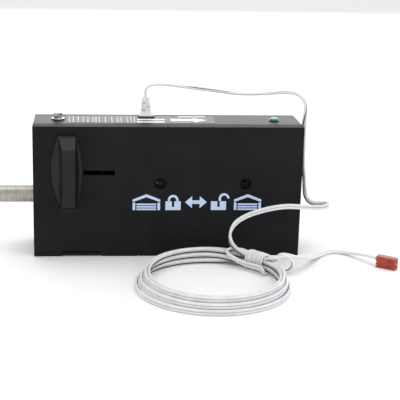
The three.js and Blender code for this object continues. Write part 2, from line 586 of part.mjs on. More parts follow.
const cordRoute = [
  [-19.5, 16.4, 140.4], [-19.6, 16.5, 146.2], [-16.8, 16.6, 149.8], [-11.5, 16.8, 151.4],
  [-2.2, 17, 151.3], [13.3, 17, 149.8], [31, 17, 148], [52.4, 16, 145.4], [69.9, 15, 143.6],
  [81.6, 13, 143.6], [98.7, 10, 145.1], [110, 7, 146.6], [118.7, 4, 145.8], [124, 1, 142.6],
  [126.9, -1, 137.6], [127.4, -3, 131.6], [126.6, -4, 124.7], [125.6, -6, 116],
  [125.2, -9.5, 100], [125.5, -14, 83.7], [126.2, -18.5, 70.8], [126.4, -22, 61.4],
  [127, -26.5, 55.5], [129.6, -30.5, 52.2], [133.6, -34.5, 51.6], [138.6, -37.4, 52.8],
  [142.4, -39.6, 53.2], [143.6, -42.6, 52.6], [140.6, -44.8, 51.8], [133, -45.8, 51.4],
  [119.5, -46, 51.8], [105.7, -46, 52.3], [91.8, -46.4, 50.6], [78, -47.2, 47.2],
  [67.7, -48.2, 43.3], [59.6, -49.2, 37.9], [55, -50.4, 31.6], [53.8, -52.2, 25.6],
  [55.6, -55.2, 19.6],
];
const cordSection = ovalSection(WIRE.width / 2, WIRE.width / 2, 8);
add('cord_run', tubeAlong(cordRoute, cordSection, 64), whitePvc);

function ring(inner, outer, height) {
  const profile = [[inner, 0], [outer, 0], [outer, height], [inner, height], [inner, 0]];
  return new THREE.LatheGeometry(profile.map(([r, z]) => new THREE.Vector2(r, z)), 64)
    .rotateX(Math.PI / 2)
    .translate(COIL.x, COIL.y, 0);
}
function wedge(from, to, reach) {
  const points = [[COIL.x, COIL.y]];
  for (let i = 0; i <= 4; i += 1) {
    const angle = THREE.MathUtils.degToRad(from + ((to - from) * i) / 4);
    points.push([COIL.x + reach * Math.cos(angle), COIL.y + reach * Math.sin(angle)]);
  }
  return new THREE.ExtrudeGeometry(shapeOf(points), { depth: 60, bevelEnabled: false })
    .translate(0, 0, -20);
}
add('cord_coil', cut(
  ring(COIL.inner, COIL.outer, COIL.height),
  wedge(TIE.from - GAP, TIE.to + GAP, 100),
), whitePvc);
add('cord_tie', meet(
  ring(TIE.inner, TIE.outer, TIE.height),
  wedge(TIE.from, TIE.to, 100),
), whitePvc);

const tailRoute = [
  [95.2, -77.6, 10.5], [101, -76.6, 12.6], [107.8, -75.4, 13.2], [115.4, -67.5, 11],
  [123, -60.5, 8.4], [130.4, -50, 5.4], [137, -39.6, 3.2], [146, -28.6, 2.5], [153.4, -23.6, 2.5],
  [160.2, -23.2, 2.5], [167.4, -27.2, 3], [174.6, -35.6, 4.6], [181.4, -46.4, 6.4], [188, -58.9, 7.4],
];
add('cord_tail', tubeAlong(tailRoute, cordSection, 26), whitePvc);
const half = CONNECTOR.thick / 2;
add('cord_connector', cut(
  box(0.4, CONNECTOR.length, -half, half, 0, CONNECTOR.height),
  box(-1, 2.2, -4, 4, -1, 1.6),
  box(12, 15, -4, -2.6, 1.2, 2.6),
).rotateZ(THREE.MathUtils.degToRad(CONNECTOR.turn)).translate(CONNECTOR.x, CONNECTOR.y, 0), redPlastic);

export default group;
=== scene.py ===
# %% [markdown]
# # A powered deadbolt lock for a sectional garage door
# The CAD model already says where every part of this lock is and how it moves. This lesson
# gives the lock its looks: bevelled mouldings, a scooped handle, screws, prints, a lamp, and
# three metres of twin lead. Each step first says what the real piece is, then makes it.
# Lengths are written in millimetres and multiplied by MM, because Blender works in metres.

# %% Load the frame
import math

import bmesh
import bpy
import numpy as np
from mathutils import Matrix, Vector


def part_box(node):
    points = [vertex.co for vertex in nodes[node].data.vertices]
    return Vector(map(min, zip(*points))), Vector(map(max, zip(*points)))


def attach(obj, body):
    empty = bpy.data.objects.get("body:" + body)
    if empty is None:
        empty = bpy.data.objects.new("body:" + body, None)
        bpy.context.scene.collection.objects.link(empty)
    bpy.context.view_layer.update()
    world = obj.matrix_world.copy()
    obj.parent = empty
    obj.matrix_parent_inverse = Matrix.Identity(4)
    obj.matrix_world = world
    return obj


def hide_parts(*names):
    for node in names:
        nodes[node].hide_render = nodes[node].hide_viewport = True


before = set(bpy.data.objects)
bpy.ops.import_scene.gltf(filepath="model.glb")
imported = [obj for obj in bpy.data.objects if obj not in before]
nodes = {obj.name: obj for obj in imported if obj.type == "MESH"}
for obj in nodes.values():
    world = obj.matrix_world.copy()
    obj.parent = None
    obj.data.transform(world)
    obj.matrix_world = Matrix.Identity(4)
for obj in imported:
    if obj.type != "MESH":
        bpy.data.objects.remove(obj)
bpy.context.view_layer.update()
scene = bpy.context.scene
MM = 0.001

# %% [markdown]
# ## The camera
# The lock is seen from the front and a little to the left of its middle, from about 16
# degrees above. A long lens keeps its sides nearly parallel. The camera is turned a little to
# the right, and the lens is shifted only slightly, so that the left upright edge of the case
# stays upright while other views still hold the whole lock.

# %% Camera
PICTURE_FOCUS = 1068 / 400  # focal length over picture width
PICTURE_SHIFT = 30 / 400
AIM_RIGHT, AIM_DOWN, LEAN = 4.453, 15.78, 1.166  # in degrees
CAMERA_PLACE = (-70.99, -959.78, 317.5)  # in mm
SENSOR = 36
camera = bpy.data.objects.new("camera", bpy.data.cameras.new("camera"))
scene.collection.objects.link(camera)
camera.data.sensor_width = SENSOR
camera.data.lens = SENSOR * PICTURE_FOCUS
camera.data.shift_x = PICTURE_SHIFT
camera.location = Vector(CAMERA_PLACE) * MM
turns = [("Z", -AIM_RIGHT), ("X", 90 - AIM_DOWN), ("Z", LEAN)]
aim = [Matrix.Rotation(math.radians(angle), 3, axis) for axis, angle in turns]
camera.rotation_euler = (aim[0] @ aim[1] @ aim[2]).to_euler()
scene.camera = camera
print("lens:", round(camera.data.lens, 1), "mm")

# %% [markdown]
# ## Sums and nodes written as Python
# A material is a small machine of nodes. Wiring it by hand is slow to read, so two helpers
# do it. A Wire is one output socket, and a sum such as 1 - mask adds the Math node for it. A
# Board is a tree, and its add method makes any other node: its type, its settings, and what
# goes into its sockets. The same Board serves materials and Geometry Nodes.

# %% Wire and Board
class Wire:
    """One output socket of a tree. Sums on it add Math nodes."""

    def __init__(self, board, socket):
        self.board = board
        self.socket = socket

    def out(self, name):
        return Wire(self.board, self.socket.node.outputs[name])

    def sum(self, operation, first, second=0.0):
        return self.board.add("ShaderNodeMath", {"operation": operation}, {0: first, 1: second})

    def __add__(self, other):
        return self.sum("ADD", self, other)

    def __sub__(self, other):
        return self.sum("SUBTRACT", self, other)

    def __rsub__(self, other):
        return self.sum("SUBTRACT", other, self)

    def __mul__(self, other):
        return self.sum("MULTIPLY", self, other)

    def __truediv__(self, other):
        return self.sum("DIVIDE", self, other)

    def __gt__(self, other):
        return self.sum("GREATER_THAN", self, other)

    def __abs__(self):
        return self.sum("ABSOLUTE", self)

    __radd__ = __add__
    __rmul__ = __mul__


class Board:
    """A node tree that is filled in from Python."""

    def __init__(self, tree):
        self.tree = tree
        tree.nodes.clear()

    def add(self, kind, settings=None, sockets=None):
        node = self.tree.nodes.new(kind)
        for name, value in (settings or {}).items():
            setattr(node, name, value)
        for key, value in (sockets or {}).items():
            socket = self.find(node.inputs, key)
            for item in value if isinstance(value, list) else [value]:
                if isinstance(item, Wire):
                    self.tree.links.new(item.socket, socket)
                else:
                    socket.default_value = item
        outputs = [socket for socket in node.outputs if socket.enabled]
        return Wire(self, outputs[0]) if outputs else None

    def find(self, sockets, key):
        if isinstance(key, int):
            return sockets[key]
        return next(s for s in sockets if key in (s.identifier, s.name) and s.enabled)

    def vector(self, operation, first, second):
        return self.add("ShaderNodeVectorMath", {"operation": operation}, {0: first, 1: second})

    def blend(self, factor, first, second):
        parts = {"Factor_Float": factor, "A_Color": first, "B_Color": second}
        return self.add("ShaderNodeMix", {"data_type": "RGBA"}, parts)


# %% A material board
def tint(r, g, b):
    return (r, g, b, 1.0)


class Finish(Board):
    """A material with one Principled shader. Patterns are sized in metres on the object."""

    def __init__(self, name):
        self.material = bpy.data.materials.new(name)
        self.material.use_nodes = True
        super().__init__(self.material.node_tree)
        self.place = self.add("ShaderNodeTexCoord").out("Object")

    def noise(self, size, detail=2.0, stretch=(1, 1, 1)):
        steps = tuple(s / size for s in stretch)
        where = self.vector("MULTIPLY", self.place, steps)
        return self.add("ShaderNodeTexNoise", {}, {"Vector": where, "Scale": 1.0, "Detail": detail})

    def step(self, value, low, high):
        sockets = {"Value": value, "From Min": low, "From Max": high}
        return self.add("ShaderNodeMapRange", {"interpolation_type": "SMOOTHSTEP"}, sockets)

    def axis(self, name):
        return self.add("ShaderNodeSeparateXYZ", {}, {"Vector": self.place}).out(name)

    def finish(self, height=None, **looks):
        sockets = {key.replace("_", " "): value for key, value in looks.items()}
        if height is not None:
            bump = {"Strength": 1.0, "Distance": 1.0, "Height": height}
            sockets["Normal"] = self.add("ShaderNodeBump", {}, bump)
        shader = self.add("ShaderNodeBsdfPrincipled", {}, sockets)
        self.add("ShaderNodeOutputMaterial", {}, {"Surface": shader})
        return self.material


print("helpers ready")

# %% [markdown]
# ## The moulded blacks
# The case and the handle are injection moulded. The mould was spark eroded, which leaves a
# fine satin grain of about a third of a millimetre. Two noises make it: a fine one for the
# grain in the bump, and a wide one for the faint cloudiness of handled plastic. A roughness
# that follows the grain keeps the highlights from looking like glass.

# %% Moulded plastic
def moulded(name, dark, light, rough, grain, depth, cloud=0.03, specular=0.5):
    board = Finish(name)
    clouds = board.noise(cloud, detail=3)
    fine = board.noise(grain, detail=1)
    shade = board.blend(board.step(clouds, 0.3, 0.7), tint(*dark), tint(*light))
    return board.finish(
        height=fine * depth + clouds * (depth * 0.3),
        Base_Color=shade,
        Roughness=fine * 0.12 + clouds * 0.08 + (rough - 0.1),
        Specular_IOR_Level=specular,
    )


GRAIN = 0.35 * MM
GRAIN_DEPTH = 0.006 * MM
MOULDINGS = [
    # name, darkest and lightest colour, roughness, grain in mm, grain depth as a share, specular
    ("case_black", (0.0044, 0.0048, 0.0066), (0.0074, 0.0079, 0.0102), 0.42, 0.35, 1, 0.2),
    ("handle_black", (0.006, 0.006, 0.0068), (0.0095, 0.0096, 0.0106), 0.42, 0.35, 0.6, 0.28),
    ("component_black", (0.02, 0.02, 0.021), (0.03, 0.03, 0.032), 0.5, 0.2, 1, 0.5),
    ("bumper_rubber", (0.016, 0.016, 0.016), (0.024, 0.023, 0.022), 0.85, 0.5, 2, 0.5),
    ("nylon_cream", (0.68, 0.62, 0.48), (0.76, 0.71, 0.58), 0.45, 0.4, 1, 0.5),
    ("acetal_white", (0.76, 0.75, 0.70), (0.84, 0.83, 0.78), 0.32, 0.4, 0.5, 0.5),
    ("relay_blue", (0.02, 0.09, 0.34), (0.03, 0.12, 0.42), 0.25, 0.3, 0.4, 0.5),
    ("connector_red", (0.33, 0.034, 0.018), (0.43, 0.055, 0.028), 0.42, 0.4, 0.7, 0.5),
    ("lead_red", (0.42, 0.02, 0.015), (0.52, 0.03, 0.02), 0.35, 0.5, 0.5, 0.5),
    ("plug_white", (0.80, 0.80, 0.81), (0.87, 0.87, 0.88), 0.4, 0.4, 0.5, 0.5),
]
finishes = {}
for name, dark, light, rough, grain, depth, specular in MOULDINGS:
    finishes[name] = moulded(name, dark, light, rough, grain * MM, GRAIN_DEPTH * depth, specular=specular)
print("mouldings:", sorted(finishes))

# %% [markdown]
# ## The metals
# The bolt is bar stock, polished along a belt, so its scratches run round it in fine rings.
# A noise squeezed hard along the bolt's axis gives such rings. Zinc plate is smoother, with a
# soft blue and yellow mottle from passivation. The guide is die cast, and its skin is dull
# and grainy. Screws get a black oxide that wears to bare steel in small spots.

# %% Metals
def brushed(name, dark, light, rough, squeeze, mottle=0.004):
    board = Finish(name)
    lines = board.noise(0.02, detail=4, stretch=squeeze)
    wide = board.noise(mottle, detail=2)
    shade = board.blend(board.step(lines * 0.7 + wide * 0.3, 0.35, 0.65), tint(*dark), tint(*light))
    return board.finish(
        height=lines * (0.01 * MM),
        Base_Color=shade,
        Roughness=lines * 0.2 + (rough - 0.1),
        Metallic=1.0,
    )


def worn_oxide(name, black, bare):
    board = Finish(name)
    patches = board.step(board.noise(0.0016, detail=5), 0.62, 0.72)
    grain = board.noise(0.25 * MM)
    return board.finish(
        height=grain * (0.004 * MM),
        Base_Color=board.blend(patches, tint(*black), tint(*bare)),
        Roughness=grain * 0.15 + 0.3,
        Metallic=patches * 0.5 + 0.5,
    )


finishes["bolt_steel"] = brushed("bolt_steel", (0.31, 0.29, 0.27), (0.50, 0.47, 0.445), 0.34, (60, 1, 1))
finishes["zinc_steel"] = brushed("zinc_steel", (0.38, 0.39, 0.41), (0.60, 0.60, 0.59), 0.22, (8, 8, 8))
finishes["gear_brass"] = brushed("gear_brass", (0.55, 0.38, 0.14), (0.70, 0.52, 0.22), 0.3, (2, 40, 2))
finishes["cast_metal"] = moulded(
    "cast_metal", (0.34, 0.34, 0.34), (0.46, 0.46, 0.45), 0.55, 0.5 * MM, GRAIN_DEPTH * 3,
)
finishes["black_screw"] = worn_oxide("black_screw", (0.07, 0.07, 0.073), (0.60, 0.59, 0.57))
print("metals ready")

# %% [markdown]
# ## Board, film, lens and prints
# The circuit board wears green solder mask over copper tracks. Tracks run along both axes, so
# two stripe patterns, cut up by a noise, stand in for them. The label is a grey film with a
# faint brushed look, and its white ink is a thin layer of its own. The lamp's lens is clear
# green over a lit core: the colour is lightest in the middle, where the light comes out.

# %% Board, film, lens and prints
def solder_mask(name):
    board = Finish(name)
    region = board.step(board.noise(0.006), 0.45, 0.5)
    across = abs(board.axis("X") / (1.6 * MM) + board.noise(0.02) * 2)
    stripe = board.add("ShaderNodeMath", {"operation": "PINGPONG"}, {0: across, 1: 1.0})
    track = board.step(stripe, 0.45, 0.55) * region
    return board.finish(
        height=track * (0.03 * MM),
        Base_Color=board.blend(track, tint(0.008, 0.085, 0.03), tint(0.02, 0.17, 0.06)),
        Roughness=board.noise(0.001) * 0.1 + 0.25,
        Coat_Weight=0.4,
    )


def film(name, shade, rough):
    board = Finish(name)
    lines = board.noise(0.004, detail=3, stretch=(1, 12, 1))
    return board.finish(
        height=lines * (0.002 * MM),
        Base_Color=board.blend(lines, tint(*shade), tint(*[v * 1.25 for v in shade])),
        Roughness=lines * 0.1 + rough,
    )


LAMP_X, LAMP_Y, LAMP_SEAT = 99.0, 2.2, 121.3
GLOW_RISE = 2.4  # the middle of the glow, above the seat


def lamp_lens(name):
    board = Finish(name)
    glow = (LAMP_X * MM, LAMP_Y * MM, LAMP_SEAT * MM + GLOW_RISE * MM)
    offset = board.vector("SUBTRACT", board.place, glow)
    across = board.add("ShaderNodeVectorMath", {"operation": "LENGTH"}, {0: offset}).out("Value")
    swirl = board.noise(0.003, detail=2) * (0.9 * MM)
    middle = 1 - board.step(across + swirl, 3.2 * MM, 4.6 * MM)
    return board.finish(
        height=board.noise(0.0012) * (0.01 * MM),
        Base_Color=board.blend(middle, tint(0.004, 0.085, 0.055), tint(0.14, 0.56, 0.33)),
        Roughness=board.noise(0.0012) * 0.1 + 0.1,
        Coat_Weight=0.6,
    )


finishes["board_green"] = solder_mask("board_green")
finishes["label_film"] = film("label_film", (0.03, 0.032, 0.04), 0.36)
finishes["lamp_green"] = lamp_lens("lamp_green")
white_ink = film("white_ink", (0.72, 0.73, 0.75), 0.4)
blue_ink = film("blue_ink", (0.50, 0.60, 0.80), 0.4)

# %% [markdown]
# ## The lead's vinyl
# The twin lead is soft white vinyl with a satin skin. One of its two wires carries a dark
# printed stripe, so that an installer can tell them apart. The lead's own UV map says how far
# round the section a point is, and the stripe is a narrow band of that. Object coordinates
# add faint smudges, painted shade darkens the grooves between the wires, and fine marks
# roughen the shine.

# %% Vinyl with its stripe
STRIPE_AT = 0.395  # where the stripe is, as a share of the way round the lead
STRIPE_HALF = 0.055
STRIPE_WOBBLE = 0.012
GROOVE_FROM, GROOVE_TO = 0.008, 0.035  # where the painted groove shade starts to fade and where it ends


def lead_vinyl(name, striped):
    board = Finish(name)
    around = board.add("ShaderNodeUVMap", {"uv_map": "lead"})
    around = board.add("ShaderNodeSeparateXYZ", {}, {"Vector": around}).out("Y")
    smudge = board.step(board.noise(0.012, detail=4), 0.35, 0.75)
    shade = board.blend(smudge, tint(0.82, 0.82, 0.835), tint(0.72, 0.72, 0.74))
    # painted shade: the back groove and the front groove between the wires are darkened in the base colour
    from_back = 0.5 - abs(around - 0.5)
    back = 1 - board.step(from_back, GROOVE_FROM, GROOVE_TO)
    groove = back + (1 - board.step(abs(around - 0.5), GROOVE_FROM, GROOVE_TO))
    shade = board.blend(groove * 0.8, shade, tint(0.30, 0.30, 0.31))
    if striped:
        wobble = board.noise(0.004) * STRIPE_WOBBLE
        away = abs(around + wobble - (STRIPE_AT + STRIPE_WOBBLE / 2))
        stripe = 1 - board.step(away, STRIPE_HALF * 0.75, STRIPE_HALF)
        shade = board.blend(stripe, shade, tint(0.016, 0.016, 0.018))
    return board.finish(
        height=board.noise(0.0009, detail=2) * (0.008 * MM),
        Base_Color=shade,
        Roughness=board.noise(0.002, detail=2) * 0.12 + 0.4,
        Specular_IOR_Level=0.3,
    )


finishes["cord_white"] = lead_vinyl("cord_white", False)
striped_vinyl = lead_vinyl("striped_vinyl", True)
for node in nodes.values():
    for slot in node.material_slots:
        slot.material = finishes[slot.material.name.split(".")[0]]
print("finishes:", len(bpy.data.materials))

# %% [markdown]
# ## The route of the lead
# The lead leaves the plug on top of the case, hangs over the right-hand end, folds back in
# front of it, and drops into a coil on the table. A coil this size was wound round a hand:
# six turns, two wide and three high, with the lower turns slumped outwards. The end is
# wrapped four times round the bundle, brought back as a loop, tucked under its own wraps,
# curled once, and run out to the connector.
#
# A real lead can't pass through itself, so the route is made in two stages. First, points
# from known places give a smooth curve, and with each point goes the way that the striped
# face looks. Then turns that overlap push each other apart for a set number of rounds, which
# leaves them lying against each other. A curve object can't hold that twist, so the points are
# worked out with numpy and the mesh is a flat tube around them.

# %% Places along the free run
LEAD_WIRE = 1.2  # radius of one of the two wires, in mm
run_points = [
    # x, y, z in mm, then the way the striped face looks
    (-19.5, 16.4, 138.0, -1, 0, 0), (-19.5, 16.4, 141.0, -1, 0, 0), (-19.6, 16.5, 145.0, -1, 0.1, 0.1),
    (-18.0, 16.6, 148.8, -0.8, 0.2, 0.6), (-13.8, 16.8, 151.0, -0.4, 0.2, 0.9), (-7, 17, 151.6, 0, 0.2, 1),
    (3, 17, 151.0, 0, 0.1, 1), (13.3, 17, 149.9, 0, 0, 1), (23, 17, 149.0, 0, -0.35, 0.9),
    (33, 17, 147.9, 0, -0.45, 0.9), (43, 16.6, 146.7, 0, -0.4, 0.9), (52.4, 16, 145.5, 0, -0.25, 1),
    (61, 15.6, 144.2, 0, 0, 1), (69.9, 15, 143.6, 0, 0.1, 1), (80, 13.4, 143.7, 0, 0.15, 1),
    (90, 11.6, 144.6, 0, 0.1, 1), (99, 10, 145.5, 0, 0, 1), (108, 8, 146.6, 0, -0.1, 1),
    (114, 6, 146.6, 0.3, -0.2, 0.9), (119.4, 4, 145.6, 0.6, -0.2, 0.7), (124, 1, 142.6, 0.8, -0.3, 0.5),
    (126.9, -1, 137.6, 0.9, -0.45, 0.2), (127.4, -3, 131.6, 0.8, -0.7, 0), (126.6, -4, 124.7, 0.2, -1, 0),
    (125.8, -6, 116, -0.2, -1, 0), (125.3, -9.5, 100, -0.5, -0.9, 0), (125.5, -14, 83.7, -0.9, -0.4, 0),
    (126.2, -18.5, 70.8, -0.85, -0.5, 0), (126.5, -22, 61.4, -0.7, -0.7, 0),
    (127.2, -26, 55.9, -0.5, -0.85, -0.1),
    (129.6, -30, 52.6, -0.3, -0.9, -0.2), (133.6, -34, 51.9, -0.1, -1, -0.1), (138.4, -36.6, 52.6, 0, -1, -0.1),
    (142.2, -38.4, 53.0, -0.3, -1, 0), (144.4, -41.0, 52.9, -1, -0.2, 0), (143.2, -44.0, 52.2, -0.6, 0.8, 0),
    (139, -45.6, 51.6, -0.1, 1, 0), (133, -46, 51.4, 0, 1, 0), (119.5, -46, 51.9, 0, 1, 0),
    (105.7, -46, 52.3, 0, 1, 0), (91.8, -46.4, 50.6, 0, 1, 0), (78, -47.2, 47.2, 0, 1, 0.1),
    (67.7, -48.2, 43.3, 0, 1, 0.2), (59.6, -49.2, 37.9, -0.4, 0.9, 0.2), (55.6, -50.4, 31.8, -0.9, 0.4, 0.1),
    (54.2, -52.2, 26.2, -1, -0.3, 0), (55.6, -54.6, 20.6, -0.7, -0.8, 0), (59.2, -57.4, 16.4, -0.3, -1, 0.1),
]
tail_points = [
    (103.4, -75.2, 16.2), (109.5, -73.4, 14.2), (115.4, -68.2, 11.6), (123, -60.5, 8.4), (130.4, -50, 5.0),
    (137, -39.6, 2.6), (146, -28.6, 1.4), (153.4, -23.6, 1.3), (160.2, -23.2, 1.3), (167.4, -27.2, 1.8),
    (174.6, -35.6, 3.6), (181.4, -46.4, 5.8), (186.2, -55.2, 7.0), (188.4, -59.2, 7.4),
]
print("free run and tail:", len(run_points) + len(tail_points), "points")

# %% Turns of the coil
COIL_CENTRE = (32.2, -111.2)
INWARD = (-1, 0, 0)
TIE_END = 28  # angle where a turn leaves the tie, in degrees
ANGLE_STEP = 12
tie_slots = [(60.6, 9.6), (63.0, 9.6), (65.4, 9.6), (65.4, 4.8), (60.6, 4.8), (63.0, 4.8)]
turn_places = [
    # radius and height of each turn at the right, front, left and back of the coil
    ((58.0, 11.8), (57.8, 12.0), (53.6, 12.2), (62.3, 12.4)),
    ((60.6, 11.9), (60.4, 11.9), (56.4, 12.0), (64.8, 12.0)),
    ((63.4, 7.6), (63.0, 7.1), (60.2, 7.1), (64.6, 7.1)),
    ((60.8, 7.0), (60.4, 7.0), (57.4, 7.2), (61.6, 7.4)),
    ((62.6, 2.4), (62.2, 2.4), (61.8, 2.4), (60.8, 2.4)),
    ((66.0, 2.4), (64.8, 2.4), (64.7, 2.4), (64.4, 2.4)),
]


def on_coil(angle, radius, height, facing):
    """A point given round the coil, and its facing given as outwards, round and up."""
    c, s = math.cos(math.radians(angle)), math.sin(math.radians(angle))
    out, along, up = facing
    return (
        COIL_CENTRE[0] + radius * c, COIL_CENTRE[1] + radius * s, height,
        out * c - along * s, out * s + along * c, up,
    )


def coil_points():
    """The turns run clockwise. Each eases from its slot under the tie to its places round the coil."""
    made = []
    for number, places in enumerate(turn_places):
        slot = tie_slots[number]
        under_tie = (46, 40, 34, 28) if number == 0 else (52, 46, 40, 34, 28)
        made += [on_coil(angle, *slot, INWARD) for angle in under_tie]
        last = number + 1 == len(turn_places)
        stations = [(TIE_END, slot), *zip((0, -90, -180, -270), places)]
        stations.append((-303, (65.6, 2.6)) if last else (-308, tie_slots[number + 1]))
        angle = TIE_END - ANGLE_STEP
        while angle > stations[-1][0] + ANGLE_STEP / 2:
            i = max(j for j in range(len(stations) - 1) if stations[j][0] >= angle)
            (a, low), (b, high) = stations[i], stations[i + 1]
            t = (a - angle) / (a - b)
            t = t * t * (3 - 2 * t)
            radius, height = (low[k] * (1 - t) + high[k] * t for k in (0, 1))
            made.append(on_coil(angle, radius, height, INWARD))
            angle -= ANGLE_STEP
    return made


coil = coil_points()
print("coil:", len(coil), "points for", len(turn_places), "turns")

# %% Wraps, tuck and curl
WRAPS = 4
WRAP_GAP = 0.02
WRAP_START = 52.0
WRAP_ANGLE = 4.45  # degrees round the coil that one wrap moves on
bundle_corners = [(65.4, 10.8), (65.4, 3.6), (60.6, 3.6), (60.6, 10.8), (62.3, 13.2), (64.7, 13.2)]


def wrap_points(steps=16):
    """A helix that hugs the bundle: the far corner in each direction, plus one lead's thickness."""
    made = []
    for i in range(WRAPS * steps + 1):
        turn = math.radians(-90 - 360 * i / steps)
        out, up = math.cos(turn), math.sin(turn)
        corner = max(bundle_corners, key=lambda c: c[0] * out + c[1] * up)
        reach = 2 * LEAD_WIRE + WRAP_GAP
        place = (corner[0] + reach * out, corner[1] + reach * up)
        made.append(on_coil(WRAP_START - WRAP_ANGLE * i / steps, *place, (-out, 0, -up)))
    return made


CURL_X, CURL_Z, CURL_RADIUS = 99.5, 9.4, 7.6
CURL_START, CURL_STEP = 128, 29.5  # in degrees
CURL_DEPTHS = (
    -79.6, -80.4, -81.0, -81.3, -81.2, -80.8, -80.2, -79.5, -78.8, -78.0, -77.2, -76.5, -76.0, -75.7,
)


def curl_points():
    """The small standing curl beside the tie, a little over one turn."""
    made = []
    for i, y in enumerate(CURL_DEPTHS):
        turn = math.radians(CURL_START - CURL_STEP * i)
        c, s = math.cos(turn), math.sin(turn)
        made.append((CURL_X + CURL_RADIUS * c, y, CURL_Z + CURL_RADIUS * s, -c, 0, -s))
    return made


tuck = [
    # angle, radius and height on the coil, then the facing
    (32.6, 60.5, 1.25, (0, 0, 1)), (30.6, 57.4, 1.7, (0.5, 0, 0.9)), (29.6, 55.4, 3.6, (1, 0, 0.3)),
    (30.8, 54.3, 5.8, (1, 0, 0)), (34.2, 54.2, 6.6, (1, 0, 0)), (38, 54.2, 6.3, (1, 0, 0.05)),
    (44.7, 54.2, 5.9, (1, 0, 0.1)), (50, 54.2, 6.0, (1, 0, 0.2)), (55.6, 54.3, 6.7, (0.95, 0, 0.3)),
    (60, 54.6, 8.0, (0.9, 0, 0.4)), (64.5, 55.0, 9.6, (0.83, 0, 0.55)), (68.4, 56.0, 11.3, (0.7, -0.5, 0.5)),
    (70.4, 58.0, 12.9, (0, -1, 0)), (69.2, 60.4, 14.4, (-0.7, -0.5, -0.5)), (66, 61.9, 15.3, (-0.6, 0, -0.8)),
    (61, 62.8, 15.6, (-0.3, 0, -1)), (56.5, 63.2, 14.6, (-0.1, 0, -1)), (52.5, 63.5, 13.4, (0, 0, -1)),
    (48, 63.5, 13.2, (0, 0, -1)), (42, 63.4, 13.2, (0, 0, -1)), (36, 62.6, 13.3, (0, 0, -1)),
    (32.6, 62.0, 13.9, (0, 0, -1)), (30.4, 63.0, 15.6, (0.2, 0, -1)),
]
into_bundle = [on_coil(57.5, 60.4, 13.2, (-1, 0, 0.1))]
to_wraps = [on_coil(56, 66.2, 2.5, (-0.9, 0, 0.3)), on_coil(53.6, 65.6, 1.6, (-0.5, 0, 1))]
lead_route = run_points + into_bundle + coil + to_wraps + wrap_points()
lead_route += [on_coil(*place) for place in tuck] + curl_points()
lead_route += [(*place, 0, 0, -1) for place in tail_points]
print("route:", len(lead_route), "points")

# %% [markdown]
# ## From points to a lead that lies still
# A Catmull-Rom curve passes through every point, and knots spaced by the root of the distance
# keep it from looping where points are close. The result is cut into equal steps of 1.5 mm.
# Then comes the settling: where two stretches of wire are nearer than their thickness, both
# move away from each other, the move is shared with their neighbours, and nothing sinks into
# the table. The run from the plug stays where it is.

# %% Curve through the route
LEAD_STEP = 1.5
FINE_STEP = 0.4


def lengths_along(line):
    """The way along the line from its start to each of its points."""
    return np.concatenate([[0], np.cumsum(np.linalg.norm(np.diff(line[:, :3], axis=0), axis=1))])


def through(points, step):
    """A smooth curve through points, cut into even steps. It carries the facing along."""
    points = np.array(points, float)
    gaps = np.linalg.norm(np.diff(points[:, :3], axis=0), axis=1) ** 0.5
    points = np.vstack([2 * points[0] - points[1], points, 2 * points[-1] - points[-2]])
    gaps = np.concatenate([[gaps[0]], gaps, [gaps[-1]]])
    pieces = []
    for i in range(1, len(points) - 2):
        p = points[i - 1:i + 3]
        k = np.concatenate([[0], np.cumsum(gaps[i - 1:i + 2])])
        count = max(2, int(np.linalg.norm(p[2][:3] - p[1][:3]) / FINE_STEP) + 1)
        t = np.linspace(k[1], k[2], count, endpoint=False)[:, None]
        a = [((k[j + 1] - t) * p[j] + (t - k[j]) * p[j + 1]) / (k[j + 1] - k[j]) for j in range(3)]
        b = [((k[j + 2] - t) * a[j] + (t - k[j]) * a[j + 1]) / (k[j + 2] - k[j]) for j in range(2)]
        pieces.append(((k[2] - t) * b[0] + (t - k[1]) * b[1]) / (k[2] - k[1]))
    line = np.vstack([*pieces, points[-2][None]])
    along = lengths_along(line)
    even = np.linspace(0, along[-1], int(along[-1] / step) + 1)
    return np.stack([np.interp(even, along, line[:, j]) for j in range(line.shape[1])], axis=1)


def directions(line):
    """Forward, facing and sideways at each point. The two wires lie sideways of the middle."""
    forward = np.gradient(line[:, :3], axis=0)
    forward /= np.linalg.norm(forward, axis=1)[:, None]
    facing = line[:, 3:6] - (line[:, 3:6] * forward).sum(1)[:, None] * forward
    facing /= np.linalg.norm(facing, axis=1)[:, None]
    return forward, facing, np.cross(forward, facing)


lead_line = through(lead_route, LEAD_STEP)
print("points on the curve:", len(lead_line))

# %% Settle the turns
SETTLE_ROUNDS = 60
WATCH = 9.0  # pairs of points nearer than this at the start are watched
PUSH, PULL_HOME = 0.6, 0.01
FIXED_RUN = len(through(run_points, LEAD_STEP))


def close_pairs(places, reach, apart=8):
    """Pairs of points that lie near each other but are far apart along the lead."""
    found = []
    for start in range(0, len(places), 400):
        far = np.linalg.norm(places[start:start + 400, None] - places[None], axis=2)
        i, j = np.nonzero(far < reach)
        keep = j - (i + start) > apart
        found.append(np.stack([(i + start)[keep], j[keep]]))
    return np.concatenate(found, axis=1)


